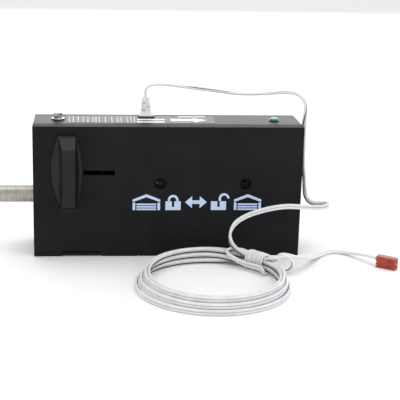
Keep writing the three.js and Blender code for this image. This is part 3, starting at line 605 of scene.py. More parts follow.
def settle(line):
    home = line[:, :3].copy()
    places = home.copy()
    free = (np.arange(len(line)) >= FIXED_RUN).astype(float)
    first, second = close_pairs(home, WATCH)
    for _ in range(SETTLE_ROUNDS):
        line[:, :3] = places
        side = directions(line)[2] * LEAD_WIRE
        wires = (places - side, places + side)
        move, touches = np.zeros_like(places), np.zeros(len(places))
        for one in wires:
            for other in wires:
                gap = one[first] - other[second]
                far = np.linalg.norm(gap, axis=1)
                hit = far < 2 * LEAD_WIRE
                push = gap[hit] / np.maximum(far[hit], 1e-6)[:, None]
                push *= ((2 * LEAD_WIRE - far[hit]) * PUSH)[:, None]
                np.add.at(move, first[hit], push)
                np.add.at(move, second[hit], -push)
                np.add.at(touches, first[hit], 1)
                np.add.at(touches, second[hit], 1)
        places += move / np.maximum(touches, 1)[:, None]
        places += (home - places) * PULL_HOME
        lowest = np.minimum(wires[0][:, 2], wires[1][:, 2])
        places[:, 2] += np.maximum(0, LEAD_WIRE - lowest)
        shift = places - home
        shift[1:-1] = 0.25 * shift[:-2] + 0.5 * shift[1:-1] + 0.25 * shift[2:]
        places = home + shift * free[:, None]
    line[:, :3] = places
    return line


lead_line = settle(lead_line)
lead_length = float(np.linalg.norm(np.diff(lead_line[:, :3], axis=0), axis=1).sum()) * MM
print("lead length:", round(lead_length, 3), "m")

# %% [markdown]
# ## The lead's skin
# In section the lead is two round wires joined by a thin web, like a lying figure of eight.
# The outline below is that figure, walked once round. Each ring of the mesh is the outline at
# one point of the route, turned to its facing, and neighbouring rings are joined by quads.
# The UV map keeps metres along the lead in U and the share of the way round in V.

# %% Mesh of the lead
WEB = 0.3  # how deep the groove between the wires stays filled, as a share of the radius


def lead_outline(per_wire=11):
    """Points (sideways, facing) of the figure of eight, starting in the back groove."""
    reach = math.radians(90 + 45)
    arc = np.linspace(-reach, reach, per_wire)
    right = [(LEAD_WIRE * (1 + math.cos(a)), LEAD_WIRE * math.sin(a)) for a in arc]
    left = [(-x, -y) for x, y in right]
    return np.array([(0, -LEAD_WIRE * WEB), *right, (0, LEAD_WIRE * WEB), *left])


def ring_quads(count, around):
    """Quads between neighbouring rings whose points are numbered ring by ring."""
    quads = []
    for i in range(0, (count - 1) * around, around):
        for j in range(around):
            k = (j + 1) % around
            quads.append((i + j, i + k, i + around + k, i + around + j))
    return quads


def lead_mesh(name, line, outline):
    _, facing, side = directions(line)
    across = side[:, None] * outline[None, :, :1] + facing[:, None] * outline[None, :, 1:]
    rings = (line[:, None, :3] + across) * MM
    count, around = rings.shape[:2]
    points = rings.reshape(-1, 3).tolist()
    faces = ring_quads(count, around)
    faces.append(tuple(range(around - 1, -1, -1)))
    faces.append(tuple(range((count - 1) * around, count * around)))
    mesh = bpy.data.meshes.new(name)
    mesh.from_pydata(points, [], faces)
    along = lengths_along(line) * MM
    uv = mesh.uv_layers.new(name="lead")
    corner = 0
    for i in range(count - 1):
        for j in range(around):
            for u, v in ((i, j), (i, j + 1), (i + 1, j + 1), (i + 1, j)):
                uv.data[corner].uv = (along[u], v / around)
                corner += 1
    mesh.shade_smooth()
    mesh.set_sharp_from_angle(angle=math.radians(50))
    return mesh


def new_piece(name, mesh, *materials):
    made = bpy.data.objects.new(name, mesh)
    scene.collection.objects.link(made)
    for material in materials:
        mesh.materials.append(material)
    return made


lead = new_piece("twin_lead", lead_mesh("twin_lead", lead_line, lead_outline()), striped_vinyl)
print("lead faces:", len(lead.data.polygons))

# %% [markdown]
# ## Room, floor and light
# A catalogue picture of a black object needs big soft lights and a bright surround. The
# floor is a wide pale sheet. Light from behind and above glances off the flat top and turns
# it pale grey, while the front, which looks away from it, stays dark. A weaker panel on the
# right lights the lead and lifts that end of the front a little.

# %% World and floor
scene.view_settings.view_transform = "Standard"
world = bpy.data.worlds.new("studio")
scene.world = world
world.use_nodes = True
room = Board(world.node_tree)
background = room.add("ShaderNodeBackground", {}, {"Color": (1, 1, 1, 1), "Strength": 0.85})
room.add("ShaderNodeOutputWorld", {}, {"Surface": background})

paper = Finish("floor_paper")
paper_shade = paper.blend(paper.noise(0.05, detail=3), tint(0.96, 0.96, 0.96), tint(0.98, 0.98, 0.98))
paper.finish(Base_Color=paper_shade, Roughness=paper.noise(0.01) * 0.1 + 0.85, Specular_IOR_Level=0.1)
FLOOR_HALF = 6.0
FLOOR_HEIGHT = -0.2 * MM
floor_mesh = bpy.data.meshes.new("floor")
corners = [(x * FLOOR_HALF, y * FLOOR_HALF, FLOOR_HEIGHT) for x, y in ((-1, -1), (1, -1), (1, 1), (-1, 1))]
floor_mesh.from_pydata(corners, [], [(0, 1, 2, 3)])
floor = new_piece("floor", floor_mesh, paper.material)


# %% Lights
def soft_light(name, place, aim, size, watts):
    lamp = bpy.data.lights.new(name, "AREA")
    lamp.shape = "RECTANGLE"
    lamp.size, lamp.size_y = size
    lamp.energy = watts
    light = bpy.data.objects.new(name, lamp)
    scene.collection.objects.link(light)
    light.location = place
    light.rotation_euler = (Vector(aim) - Vector(place)).to_track_quat("-Z", "Y").to_euler()


soft_light("overhead", (0.0, 0.1, 1.6), (0, 0, 0), (1.6, 1.2), 8)
soft_light("back_panel", (0.0, 2.0, 0.75), (0, 0, 0.12), (3.6, 1.0), 20)
soft_light("right_panel", (1.3, -0.9, 0.7), (0.05, 0, 0.06), (0.7, 0.9), 3)

# %% [markdown]
# ## Working helpers
# A CAD node is a mesh of loose triangles. A piece that needs rounded edges is a merged copy of
# it: doubles are welded, flat facets are dissolved, and a Bevel modifier rounds the edges that
# carry a bevel weight. Then the modifiers are applied and the smooth and sharp edges are set,
# so that the plain mesh holds what is seen. Weighted normals keep the large faces flat to the
# eye, although a rounded edge ends on them.

# %% Copy, settle and measure
WELD = 2e-6  # points nearer than this, in metres, become one
WIDEST = 1.2 * MM  # the width of a bevel whose weight is one


def copied(name, node, flat=0.5):
    source = nodes[node]
    work = bmesh.new()
    work.from_mesh(source.data)
    bmesh.ops.remove_doubles(work, verts=work.verts, dist=WELD)
    bmesh.ops.dissolve_limit(work, angle_limit=math.radians(flat), verts=work.verts, edges=work.edges)
    mesh = bpy.data.meshes.new(name)
    work.to_mesh(mesh)
    work.free()
    return new_piece(name, mesh, source.material_slots[0].material)


def applied(piece):
    """Turn the piece with its modifiers into a plain mesh."""
    graph = bpy.context.evaluated_depsgraph_get()
    graph.update()
    mesh = bpy.data.meshes.new_from_object(piece.evaluated_get(graph))
    mesh.name = piece.name
    piece.modifiers.clear()
    piece.data = mesh
    return piece


def settled(piece, sharp=35):
    """Apply the modifiers, then shade smoothly except along edges sharper than an angle."""
    applied(piece)
    piece.data.shade_smooth()
    piece.data.set_sharp_from_angle(angle=math.radians(sharp))
    return piece


def open_edges(piece):
    work = bmesh.new()
    work.from_mesh(piece.data)
    count = sum(not edge.is_manifold for edge in work.edges)
    work.free()
    return count


def span(piece):
    """The piece's lowest and highest corners in mm, for a printed check."""
    places = np.array([v.co for v in piece.data.vertices]) / MM
    return places.min(0).round(1).tolist(), places.max(0).round(1).tolist()


def bevelled(piece, width_of, least=25):
    """Round each hard edge by the width that width_of gives for its middle and direction."""
    mesh = piece.data
    work = bmesh.new()
    work.from_mesh(mesh)
    layer = work.edges.layers.float.new("bevel_weight_edge")
    for edge in work.edges:
        if len(edge.link_faces) == 2 and edge.calc_face_angle(0) > math.radians(least):
            a, b = (v.co / MM for v in edge.verts)
            edge[layer] = width_of((a + b) / 2, (b - a).normalized()) * MM / WIDEST
    work.to_mesh(mesh)
    work.free()
    rounding = piece.modifiers.new("rounding", "BEVEL")
    rounding.limit_method = "WEIGHT"
    rounding.width = WIDEST
    rounding.segments = 3
    rounding.use_clamp_overlap = True
    rounding.miter_outer = "MITER_SHARP"
    settled(piece)
    flat = piece.modifiers.new("flat_faces", "WEIGHTED_NORMAL")
    flat.keep_sharp = True
    return applied(piece)


print("helpers ready")

# %% [markdown]
# ## The case
# The case is two deep trays that meet at a seam: a shallow front cover, and a rear housing
# with the works in it. Moulded edges are never sharp. The cover's outer edges have a radius
# of about a millimetre, and the edges of the slot, wells and notch are only broken. The seam
# shows as a thin dark line because the housing is rounded a little there.

# %% Case pieces
CASE_HALF, CASE_TOP, CASE_FRONT = 122, 121, -28.5
SEAM_AT = -15.5


def near(value, target, reach=0.25):
    return abs(value - target) < reach


def cover_edge(middle, along):
    x, y, z = middle
    outer = near(y, CASE_FRONT)
    if outer and near(abs(x), CASE_HALF) and abs(along.z) > 0.9:
        return 1.1
    if outer and near(z, 0) and abs(along.x) > 0.9:
        return 1.0
    if outer and near(z, CASE_TOP) and abs(along.x) > 0.9:
        return 0.7
    return 0.22 if near(y, CASE_FRONT, 6) else 0.0


def housing_edge(middle, along):
    x, y, z = middle
    outside = near(abs(x), CASE_HALF) or near(z, 0) or near(z, CASE_TOP)
    if outside and near(y, -CASE_FRONT):
        return 0.9
    if near(abs(x), CASE_HALF) and (near(z, 0) or near(z, CASE_TOP)) and abs(along.y) > 0.9:
        return 0.5
    return 0.25 if outside and near(y, SEAM_AT) else 0.0


cover_black = moulded(
    "cover_black", (0.0052, 0.0056, 0.0076), (0.0088, 0.0092, 0.0118), 0.58, GRAIN, GRAIN_DEPTH,
    specular=0.16,
)
front_cover = bevelled(copied("case_front_cover", "front_cover"), cover_edge)
front_cover.data.materials[0] = cover_black
rear_housing = bevelled(copied("case_rear_housing", "rear_housing"), housing_edge)
print("open edges:", open_edges(front_cover), open_edges(rear_housing))
for piece, node in ((front_cover, "front_cover"), (rear_housing, "rear_housing")):
    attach(piece, "case")
    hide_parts(node)

# %% [markdown]
# ## The release handle
# Behind the door a person pulls this handle to draw the bolt by hand. Its outline is a lens,
# with a tall rib for the fingers down its middle, and the flanks are scooped from a steep
# rim up to the rib. That shape follows a rule, so it is built as rows: each row is the
# section at one height, and all rows have the same points, so they join into one skin.

# %% Sections of the handle
HANDLE_TOP, HANDLE_BOTTOM = 113.4, 43.2
PLATE_BACK, PLATE_FRONT = -28.8, -31.0
RIB_RIGHT = -84.0
LEFT_BOW, RIGHT_BOW = (-99.8, -114.9, -96.0), (-83.3, -70.4, -83.5)  # x at the top, pull, and bottom
RIM_WIDE = 2.4
RIB_ROUND = 0.7  # how far the rib's corners are eased, up and down and across
rib_left_curve = [
    # height, and x of the rib's left edge, which flares out at both ends
    (43.2, -95.2), (50.3, -95.9), (64.0, -94.9), (78.0, -94.3), (92.0, -94.5),
    (102.2, -95.4), (107.0, -96.9), (113.4, -98.8),
]
rib_profile = [(44.0, -29.5), (50.3, -43.5), (102.2, -43.5), (113.0, -29.5)]


def bow(height, start, pull, end):
    """x of a quadratic curve between two heights. Height is linear in t for these curves."""
    t = (HANDLE_TOP - height) / (HANDLE_TOP - HANDLE_BOTTOM)
    return (1 - t) ** 2 * start + 2 * t * (1 - t) * pull + t ** 2 * end


def rib_front(height):
    heights, depths = zip(*rib_profile)
    around = [np.interp(height + d, heights, depths) for d in (-RIB_ROUND, 0, RIB_ROUND)]
    return min(float(np.mean(around)), PLATE_FRONT)


def rib_left(height):
    """The rib's left edge, smoothed a little between the given heights."""
    heights, edges = zip(*rib_left_curve)
    return float(np.mean([np.interp(height + d, heights, edges) for d in (-3, -1.5, 0, 1.5, 3)]))


def flank(outer, edge, front, steps=9, power=2.3):
    """From the plate's outline over its steep rim and up the scoop to the rib's edge."""
    inward = 1 if edge > outer else -1
    full = abs(edge - outer)
    rim = min(RIM_WIDE, full * 0.4)
    reach, rise = full - rim, front - PLATE_FRONT
    made = [(outer, PLATE_BACK), (outer + inward * 0.1, PLATE_BACK - 0.35)]
    made.append((outer + inward * rim * 0.85, PLATE_FRONT + 0.2))
    for i in range(steps + 1):
        s = i / steps
        made.append((outer + inward * (rim + reach * s), PLATE_FRONT + rise * 0.96 * s ** power))
    return made


def handle_section(height):
    front = rib_front(height)
    left = bow(height, *LEFT_BOW)
    right = bow(height, *RIGHT_BOW)
    edge = rib_left(height)
    round_off = min(RIB_ROUND, (PLATE_FRONT - front) * 0.5)
    crown = [(edge + 0.25, front + round_off * 0.3), (edge + 0.8, front)]
    crown += [(RIB_RIGHT - 0.8, front), (RIB_RIGHT - 0.25, front + round_off * 0.3)]
    return flank(left, edge, front) + crown + flank(right, RIB_RIGHT, front)[::-1]


heights = set(np.linspace(HANDLE_BOTTOM, HANDLE_TOP, 45).round(3))
turning = {h + d for h, _ in rib_profile for d in (-RIB_ROUND, 0.0, RIB_ROUND)}
heights |= {h for h in turning if HANDLE_BOTTOM < h < HANDLE_TOP}
rows = [[(x, y, z) for x, y in handle_section(z)] for z in sorted(heights)]
print("handle rows:", len(rows), "points in each:", len(rows[0]))


# %% Skin over rows
def skinned(name, rows, material):
    """A closed skin over rows of points, with the first and last row capped."""
    count, around = len(rows), len(rows[0])
    points = [tuple(v * MM for v in point) for row in rows for point in row]
    faces = [tuple(range(around)), tuple(range((count - 1) * around, count * around))]
    faces += ring_quads(count, around)
    mesh = bpy.data.meshes.new(name)
    mesh.from_pydata(points, [], faces)
    work = bmesh.new()
    work.from_mesh(mesh)
    bmesh.ops.remove_doubles(work, verts=work.verts, dist=WELD)
    bmesh.ops.recalc_face_normals(work, faces=work.faces)
    work.to_mesh(mesh)
    work.free()
    return new_piece(name, mesh, material)


def united(piece, other):
    step = piece.modifiers.new("union", "BOOLEAN")
    step.operation = "UNION"
    step.solver = "EXACT"
    step.object = other
    settled(piece)
    bpy.data.objects.remove(other)
    return piece


def slab(name, low, high, material):
    """A rectangular block, from its lowest to its highest corner."""
    (x0, y0, z0), (x1, y1, z1) = low, high
    rows = [[(x0, y0, z), (x1, y0, z), (x1, y1, z), (x0, y1, z)] for z in (z0, z1)]
    return skinned(name, rows, material)


handle = skinned("release_handle_grip", rows, finishes["handle_black"])
stem = slab("stem", (-96.3, -29.5, 76.3), (-81.7, -20.3, 80.5), finishes["handle_black"])
handle = united(handle, stem)
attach(handle, "bolt")
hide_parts("release_handle")
print("handle faces:", len(handle.data.polygons), "open edges:", open_edges(handle))

# %% [markdown]
# ## The bolt and the hex screw
# The bolt is round bar with a turned chamfer, and its faces only need smooth shading, which
# must not be done to the CAD node itself. So a welded copy takes its place. The hex screw is
# pressed, and its corners are soft, so its copy is bevelled.

# %% Bolt and hex screw
bolt = settled(copied("bolt_bar", "deadbolt", flat=0.1), sharp=30)
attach(bolt, "bolt")
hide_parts("deadbolt")
hex_screw = bevelled(copied("hex_screw", "top_hex_screw", flat=0.1), lambda middle, along: 0.28, least=32)
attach(hex_screw, "case")
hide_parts("top_hex_screw")
print("bolt open edges:", open_edges(bolt), "hex screw:", open_edges(hex_screw))

# %% [markdown]
# ## Rules made with Geometry Nodes
# A rule is a small node tree with named inputs. Its base is a mesh that says where things go,
# and the tree puts something there. Three helpers keep each rule short: one opens a tree and
# its inputs, one closes it with Realize Instances and Set Material, and one runs it on a base
# and keeps the plain mesh that comes out.

# %% Open, close and run a rule
class Rule(Board):
    """A Geometry Nodes tree with named inputs."""

    def __init__(self, name, **inputs):
        super().__init__(bpy.data.node_groups.new(name, "GeometryNodeTree"))
        face = self.tree.interface
        for way in ("INPUT", "OUTPUT"):
            face.new_socket("Geometry", in_out=way, socket_type="NodeSocketGeometry")
        for key, value in inputs.items():
            kind = {int: "NodeSocketInt", float: "NodeSocketFloat"}.get(type(value), "NodeSocketVector")
            face.new_socket(key, in_out="INPUT", socket_type=kind).default_value = value
        self.start = self.add("NodeGroupInput")

    def given(self, name):
        return self.start.out(name)

    def random(self, low, high, seed):
        """A number between two others, drawn anew for each place."""
        limits = {"Min_001": low, "Max_001": high, "Seed": seed}
        return self.add("FunctionNodeRandomValue", {"data_type": "FLOAT"}, limits)

    def joined(self, **axes):
        """A vector from its X, Y and Z. What isn't given is 0."""
        return self.add("ShaderNodeCombineXYZ", {}, axes)

    def combined(self, operation, sockets):
        return self.add("GeometryNodeMeshBoolean", {"operation": operation}, sockets)

    def shifted(self, shape, offset):
        return self.add("GeometryNodeSetPosition", {}, {"Geometry": shape, "Offset": offset})

    def close(self, shape, material):
        real = self.add("GeometryNodeRealizeInstances", {}, {"Geometry": shape})
        coloured = self.add("GeometryNodeSetMaterial", {}, {"Geometry": real, "Material": material})
        self.add("NodeGroupOutput", {}, {"Geometry": coloured})
        return self.tree


def grown(piece, tree, sharp=35, **values):
    """Run a rule on a piece with its own values, and keep the plain mesh."""
    step = piece.modifiers.new(tree.name, "NODES")
    step.node_group = tree
    inputs = [item for item in tree.interface.items_tree if item.in_out == "INPUT"]
    identifiers = {item.name: item.identifier for item in inputs}
    for key, value in values.items():
        step[identifiers[key]] = value
    return settled(piece, sharp)


def points_piece(name, points):
    mesh = bpy.data.meshes.new(name)
    mesh.from_pydata([tuple(v * MM for v in point) for point in points], [], [])
    return new_piece(name, mesh)


print("rules ready")

# %% [markdown]
# ## Cover screws
# Two black screws with crossed recesses hold the front cover, deep in their wells. They are
# the same screw twice, turned to where the driver happened to stop, which is just what
# instances are for. The tree makes one: a shank joined to a low domed head, from which two
# crossed wedges are cut. Then it puts one on each point with its own turn.

# %% Screw rule
HEAD_HIGH = 2.2


def screw_rule(name, material, seed):
    rule = Rule(
        name, Head=3.85 * MM, Height=HEAD_HIGH * MM, Shank=1.75 * MM, Length=22.0 * MM, Recess=1.0 * MM,
    )
    head, height = rule.given("Head"), rule.given("Height")

    def rod(radius, depth, rings):
        sizes = {"Vertices": 40, "Side Segments": 1, "Fill Segments": rings, "Radius": radius, "Depth": depth}
        return rule.add("GeometryNodeMeshCylinder", {"fill_type": "TRIANGLE_FAN"}, sizes)

    def placed(shape, z, turn=0.0):
        move = {"Geometry": shape, "Translation": rule.joined(Z=z), "Rotation": (0.0, 0.0, turn)}
        return rule.add("GeometryNodeTransform", {}, move)

    place = rule.add("GeometryNodeInputPosition")
    apart = rule.add("ShaderNodeSeparateXYZ", {}, {"Vector": place})
    x, y, z = apart.out("X"), apart.out("Y"), apart.out("Z")
    out = (x * x + y * y) / (head * head)
    crown = rule.joined(Z=out * out * height * -0.3 * (z > 0.0))  # only the top face is domed
    dome = rule.shifted(rod(head, height, 6), crown)
    shank = placed(rod(rule.given("Shank"), rule.given("Length"), 1), rule.given("Length") * -0.5)
    body = rule.combined("UNION", {"Mesh 2": [dome, shank]})

    size = rule.joined(X=head * 1.15, Y=rule.given("Recess"), Z=height)
    blade = rule.add("GeometryNodeMeshCube", {}, {"Size": size})
    below = z / height - 0.5
    blade = rule.shifted(blade, rule.joined(X=x * below * 0.7, Y=y * below * 0.5))
    blades = [placed(blade, height * 0.55, turn) for turn in (0.0, math.pi / 2)]
    cross = rule.combined("UNION", {"Mesh 2": blades})
    screw = rule.combined("DIFFERENCE", {"Mesh 1": body, "Mesh 2": cross})

    turn = rule.joined(Z=rule.random(0.0, math.pi / 2, seed))
    spun = {"Points": rule.given("Geometry"), "Instance": screw, "Rotation": turn}
    screws = rule.add("GeometryNodeInstanceOnPoints", {}, spun)
    facing = {"Instances": screws, "Rotation": (math.pi / 2, 0.0, 0.0), "Local Space": True}
    return rule.close(rule.add("GeometryNodeRotateInstances", {}, facing), material)


screw_places = []
for node in ("cover_screw_left", "cover_screw_right"):
    low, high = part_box(node)
    depth = low.y / MM + HEAD_HIGH / 2
    screw_places.append(((low.x + high.x) / 2 / MM, depth, (low.z + high.z) / 2 / MM))
cover_screws = points_piece("cover_screws", screw_places)
grown(cover_screws, screw_rule("cross_screws", finishes["black_screw"], 4))
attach(cover_screws, "case")
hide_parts("cover_screw_left", "cover_screw_right")
print("screw faces:", len(cover_screws.data.polygons), "open edges:", open_edges(cover_screws))
print("screws span:", span(cover_screws))

# %% [markdown]
# ## Label and prints
# The label on top is one thin film with an edge that was cut a little askew, and a notch
# where the socket sits. Its print is white ink: two blocks, a small block, and an arrow that
# points away from the bolt, to show which way the lock is mounted. The rows of small marks
# stand for printed lines, and carry no letters.

# %% Flat shapes
def plate(name, outlines, base, thick, material, upright=False):
    """Flat closed outlines with a thickness. Base is the height if they lie, or the depth if upright."""
    work = bmesh.new()
    for outline in outlines:
        if upright:
            low = [work.verts.new((x * MM, base * MM, z * MM)) for x, z in outline]
            lift = Vector((0, -thick * MM, 0))
        else:
            low = [work.verts.new((x * MM, y * MM, base * MM)) for x, y in outline]
            lift = Vector((0, 0, thick * MM))
        lifted = bmesh.ops.extrude_face_region(work, geom=[work.faces.new(low)])["geom"]
        lifted = [part for part in lifted if isinstance(part, bmesh.types.BMVert)]
        bmesh.ops.translate(work, verts=lifted, vec=lift)
    bmesh.ops.recalc_face_normals(work, faces=work.faces)
    mesh = bpy.data.meshes.new(name)
    work.to_mesh(mesh)
    work.free()
    return new_piece(name, mesh, material)


def block(x0, x1, y0, y1):
    return [(x0, y0), (x1, y0), (x1, y1), (x0, y1)]


LABEL_BASE, LABEL_THICK = 121.04, 0.14
INK_BASE = LABEL_BASE + LABEL_THICK - 0.01
INK_THICK = 0.06
film_outline = [
    (-92.7, -10.9), (43.2, -10.9), (44.2, 19.8), (43.7, 20.1), (-11.0, 20.1), (-11.0, 11.0),
    (-26.7, 11.0), (-26.7, 20.1), (-92.2, 20.1), (-92.7, 19.6),
]
label = plate("top_film", [film_outline], LABEL_BASE, LABEL_THICK, finishes["label_film"])
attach(label, "case")
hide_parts("top_label")

top_marks = [
    block(-27.8, -2.2, 1.5, 7.3), block(-28.4, -3.1, -9.4, -4.2), block(11.1, 36.3, 15.8, 19.8),
    [(2.9, -2.0), (24.2, -2.0), (24.2, -7.7), (36.6, 2.6), (24.2, 11.7), (24.2, 8.1), (2.9, 8.1)],
]
top_print = plate("top_print", top_marks, INK_BASE, INK_THICK, white_ink)
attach(top_print, "case")
print("label:", span(label), "marks:", len(top_marks))

# %% [markdown]
# ## Printed lines by a rule
# The left half of the label is covered by lines of small print that run from front to back.
# One point marks where each line starts, and the rule does the rest. Duplicate Elements
# makes a row of points from each one, Set Position spaces them, and each gets a small bar of
# random length. The seed is fixed, so the print is the same each time.

# %% Line rule
def print_rule(name, material, seed):
    bar_size = (1.1 * MM, 1.5 * MM, INK_THICK * MM)
    rule = Rule(name, Marks=11, Pitch=(0.0, 2.4 * MM, 0.0), Bar=bar_size, Shortest=0.4)
    starts = {"Mesh": rule.given("Geometry"), "Radius": 0.0}
    starts = rule.add("GeometryNodeMeshToPoints", {}, starts)
    rows = {"Geometry": starts, "Amount": rule.given("Marks")}
    copies = rule.add("GeometryNodeDuplicateElements", {"domain": "POINT"}, rows)
    along = {0: rule.given("Pitch"), "Scale": copies.out("Duplicate Index")}
    along = rule.add("ShaderNodeVectorMath", {"operation": "SCALE"}, along)
    spaced = rule.shifted(copies, along)
    bar = rule.add("GeometryNodeMeshCube", {}, {"Size": rule.given("Bar")})
    scale = rule.joined(X=1.0, Y=rule.random(rule.given("Shortest"), 1.25, seed), Z=1.0)
    bars = {"Points": spaced, "Instance": bar, "Scale": scale}
    return rule.close(rule.add("GeometryNodeInstanceOnPoints", {}, bars), material)


PRINT_COLUMNS = (
    -89.7, -86.2, -81.6, -77.0, -72.8, -68.2, -65.4, -62.6, -56.8, -50.9, -45.5, -42.5, -36.7, -33.5, -30.3,
)
COLUMNS_FROM = -8.6
SMALL_X, SMALL_Y, SMALL_PITCH, SMALL_COUNT = 4.8, -7.6, 1.9, 9
INK_MIDDLE = INK_BASE + INK_THICK / 2
line_starts = [(x, COLUMNS_FROM, INK_MIDDLE) for x in PRINT_COLUMNS]
print_lines = points_piece("top_print_lines", line_starts)
line_rule = print_rule("printed_lines", white_ink, 7)
grown(print_lines, line_rule)
small_starts = [(SMALL_X + SMALL_PITCH * i, SMALL_Y, INK_MIDDLE) for i in range(SMALL_COUNT)]
small_lines = points_piece("top_print_small", small_starts)
grown(small_lines, line_rule, Marks=1)
for piece in (print_lines, small_lines):
    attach(piece, "case")
print("bars:", len(print_lines.data.polygons) // 6, "and", len(small_lines.data.polygons) // 6)

# %% [markdown]
# ## Signs on the front
# The front carries one wide band of pale blue print. Here it is a row of plain signs that say
# what the thing is: a sectional door, a closed padlock, the bolt's two directions, an open
# padlock, and the door again. Each sign is a set of closed outlines with a thickness of less
# than a tenth of a millimetre, as pad-printed ink has. The door's panels follow a rule, so one
# function draws them.

# %% Sign outlines
SIGN_LOW, SIGN_HIGH = 44.0, 59.0
SIGN_THICK = 0.07
STROKE = 2.4
EAVES_DROP = 5.0
LOCK_WIDE, LOCK_HIGH, LEG_WIDE = 14.0, 8.3, 2.1
KEYHOLE_HALF, KEYHOLE_LOW = 1.1, 3.0
SHACKLE_LOW, SHACKLE_IN, SHACKLE_OUT = 9.4, 2.8, 4.9
ARROW_HEAD, ARROW_HALF = 6.5, 5.6
ARC_STEPS = 14


def ring_arc(cx, cz, inner, outer, start, end):
    turns = [math.radians(start + (end - start) * i / ARC_STEPS) for i in range(ARC_STEPS + 1)]
    far = [(cx + outer * math.cos(t), cz + outer * math.sin(t)) for t in turns]
    return far + [(cx + inner * math.cos(t), cz + inner * math.sin(t)) for t in turns[::-1]]


def door_sign(x, width=25.0, panels=3):
    high, low, eaves = SIGN_HIGH, SIGN_LOW, SIGN_HIGH - EAVES_DROP
    middle, right = x + width / 2, x + width
    roof = [
        (x, eaves), (middle, high), (right, eaves), (right, eaves - STROKE),
        (middle, high - STROKE - 0.4), (x, eaves - STROKE),
    ]
    inside = (x + STROKE + 1.1, right - STROKE - 1.1)
    pitch = (eaves - STROKE - 0.6 - low) / panels
    slats = [block(*inside, low + pitch * i, low + pitch * i + pitch * 0.66) for i in range(panels)]
    posts = [block(left, left + STROKE, low, eaves - STROKE - 0.5) for left in (x, right - STROKE)]
    return [roof, *posts, *slats]


def padlock_sign(x, opened):
    middle, low = x + LOCK_WIDE / 2, SIGN_LOW
    lift, aside = (1.6, 5.0) if opened else (0.0, 0)
    foot = low + SHACKLE_LOW + lift
    shackle = ring_arc(middle + aside, foot, SHACKLE_IN, SHACKLE_OUT, 0, 180)
    left, right = shackle[ARC_STEPS][0], shackle[0][0]
    legs = [block(left, left + LEG_WIDE, low + 8.6, foot)]
    if not opened:
        legs.append(block(right - LEG_WIDE, right, low + 8.6, foot))
    top, notch = low + LOCK_HIGH, low + KEYHOLE_LOW
    body = [
        (x, low), (x + LOCK_WIDE, low), (x + LOCK_WIDE, top), (middle + KEYHOLE_HALF, top),
        (middle + KEYHOLE_HALF, notch), (middle - KEYHOLE_HALF, notch), (middle - KEYHOLE_HALF, top), (x, top),
    ]
    return [body, shackle, *legs]


def arrow_sign(x, width=20.0):
    """Two heads on one shaft: the upper half from left to right, then the lower half back."""
    middle = (SIGN_LOW + SIGN_HIGH) / 2
    shaft = STROKE * 0.7
    left, right = x + ARROW_HEAD, x + width - ARROW_HEAD
    upper = [(left, ARROW_HALF), (left, shaft), (right, shaft), (right, ARROW_HALF)]
    outline = [(x, middle), *((px, middle + rise) for px, rise in upper), (x + width, middle)]
    return [outline + [(px, middle - rise) for px, rise in upper[::-1]]]


signs = door_sign(-32.4) + padlock_sign(-2.6, False) + arrow_sign(15.2)
signs += padlock_sign(39.0, True) + door_sign(60.2)
front_print = plate("front_signs", signs, CASE_FRONT + 0.02, SIGN_THICK, blue_ink, upright=True)
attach(front_print, "case")
print("sign outlines:", len(signs), "span:", span(front_print), "open edges:", open_edges(front_print))

# %% [markdown]
# ## The plug
# The white plug is moulded over the lead's end. It sits in the socket with a flared collar
# and narrows towards the lead, with short relief slots cut from alternate sides so that it
# bends instead of breaking. The body is a loft: a rounded rectangle whose size and roundness
# change with height. The slots follow a rule: boxes in a row, cut away by one boolean.

# %% Plug sections and cutting rule
def rounded(cx, cy, half_x, half_y, z, power, steps=40):
    """A superellipse: power 2 is an ellipse, and a high power is nearly a rectangle."""
    made = []
    for i in range(steps):
        t = 2 * math.pi * i / steps
        c, s = math.cos(t), math.sin(t)
        x = math.copysign(abs(c) ** (2 / power), c) * half_x
        y = math.copysign(abs(s) ** (2 / power), s) * half_y
        made.append((cx + x, cy + y, z))
    return made


def cutting_rule(name, material):
    """Boxes in a row, cut away from the mesh that the rule is given."""
    size = (3 * MM, 1 * MM, 1 * MM)
    rule = Rule(name, Count=2, Step=(0.0, 0.0, 7.0 * MM), Start=(0.0, 0.0, 0.0), Size=size)
    row = {"Count": rule.given("Count"), "Start Location": rule.given("Start"), "Offset": rule.given("Step")}
    line = rule.add("GeometryNodeMeshLine", {"mode": "OFFSET"}, row)
    box = rule.add("GeometryNodeMeshCube", {}, {"Size": rule.given("Size")})
    boxes = rule.add("GeometryNodeInstanceOnPoints", {}, {"Points": line, "Instance": box})
    tools = rule.add("GeometryNodeRealizeInstances", {}, {"Geometry": boxes})
    cut = rule.combined("DIFFERENCE", {"Mesh 1": rule.given("Geometry"), "Mesh 2": tools})
    return rule.close(cut, material)


def cut_row(piece, material, **values):
    return grown(piece, cutting_rule("row_of_cuts", material), sharp=40, **values)


def in_metres(*values):
    return [v * MM for v in values]


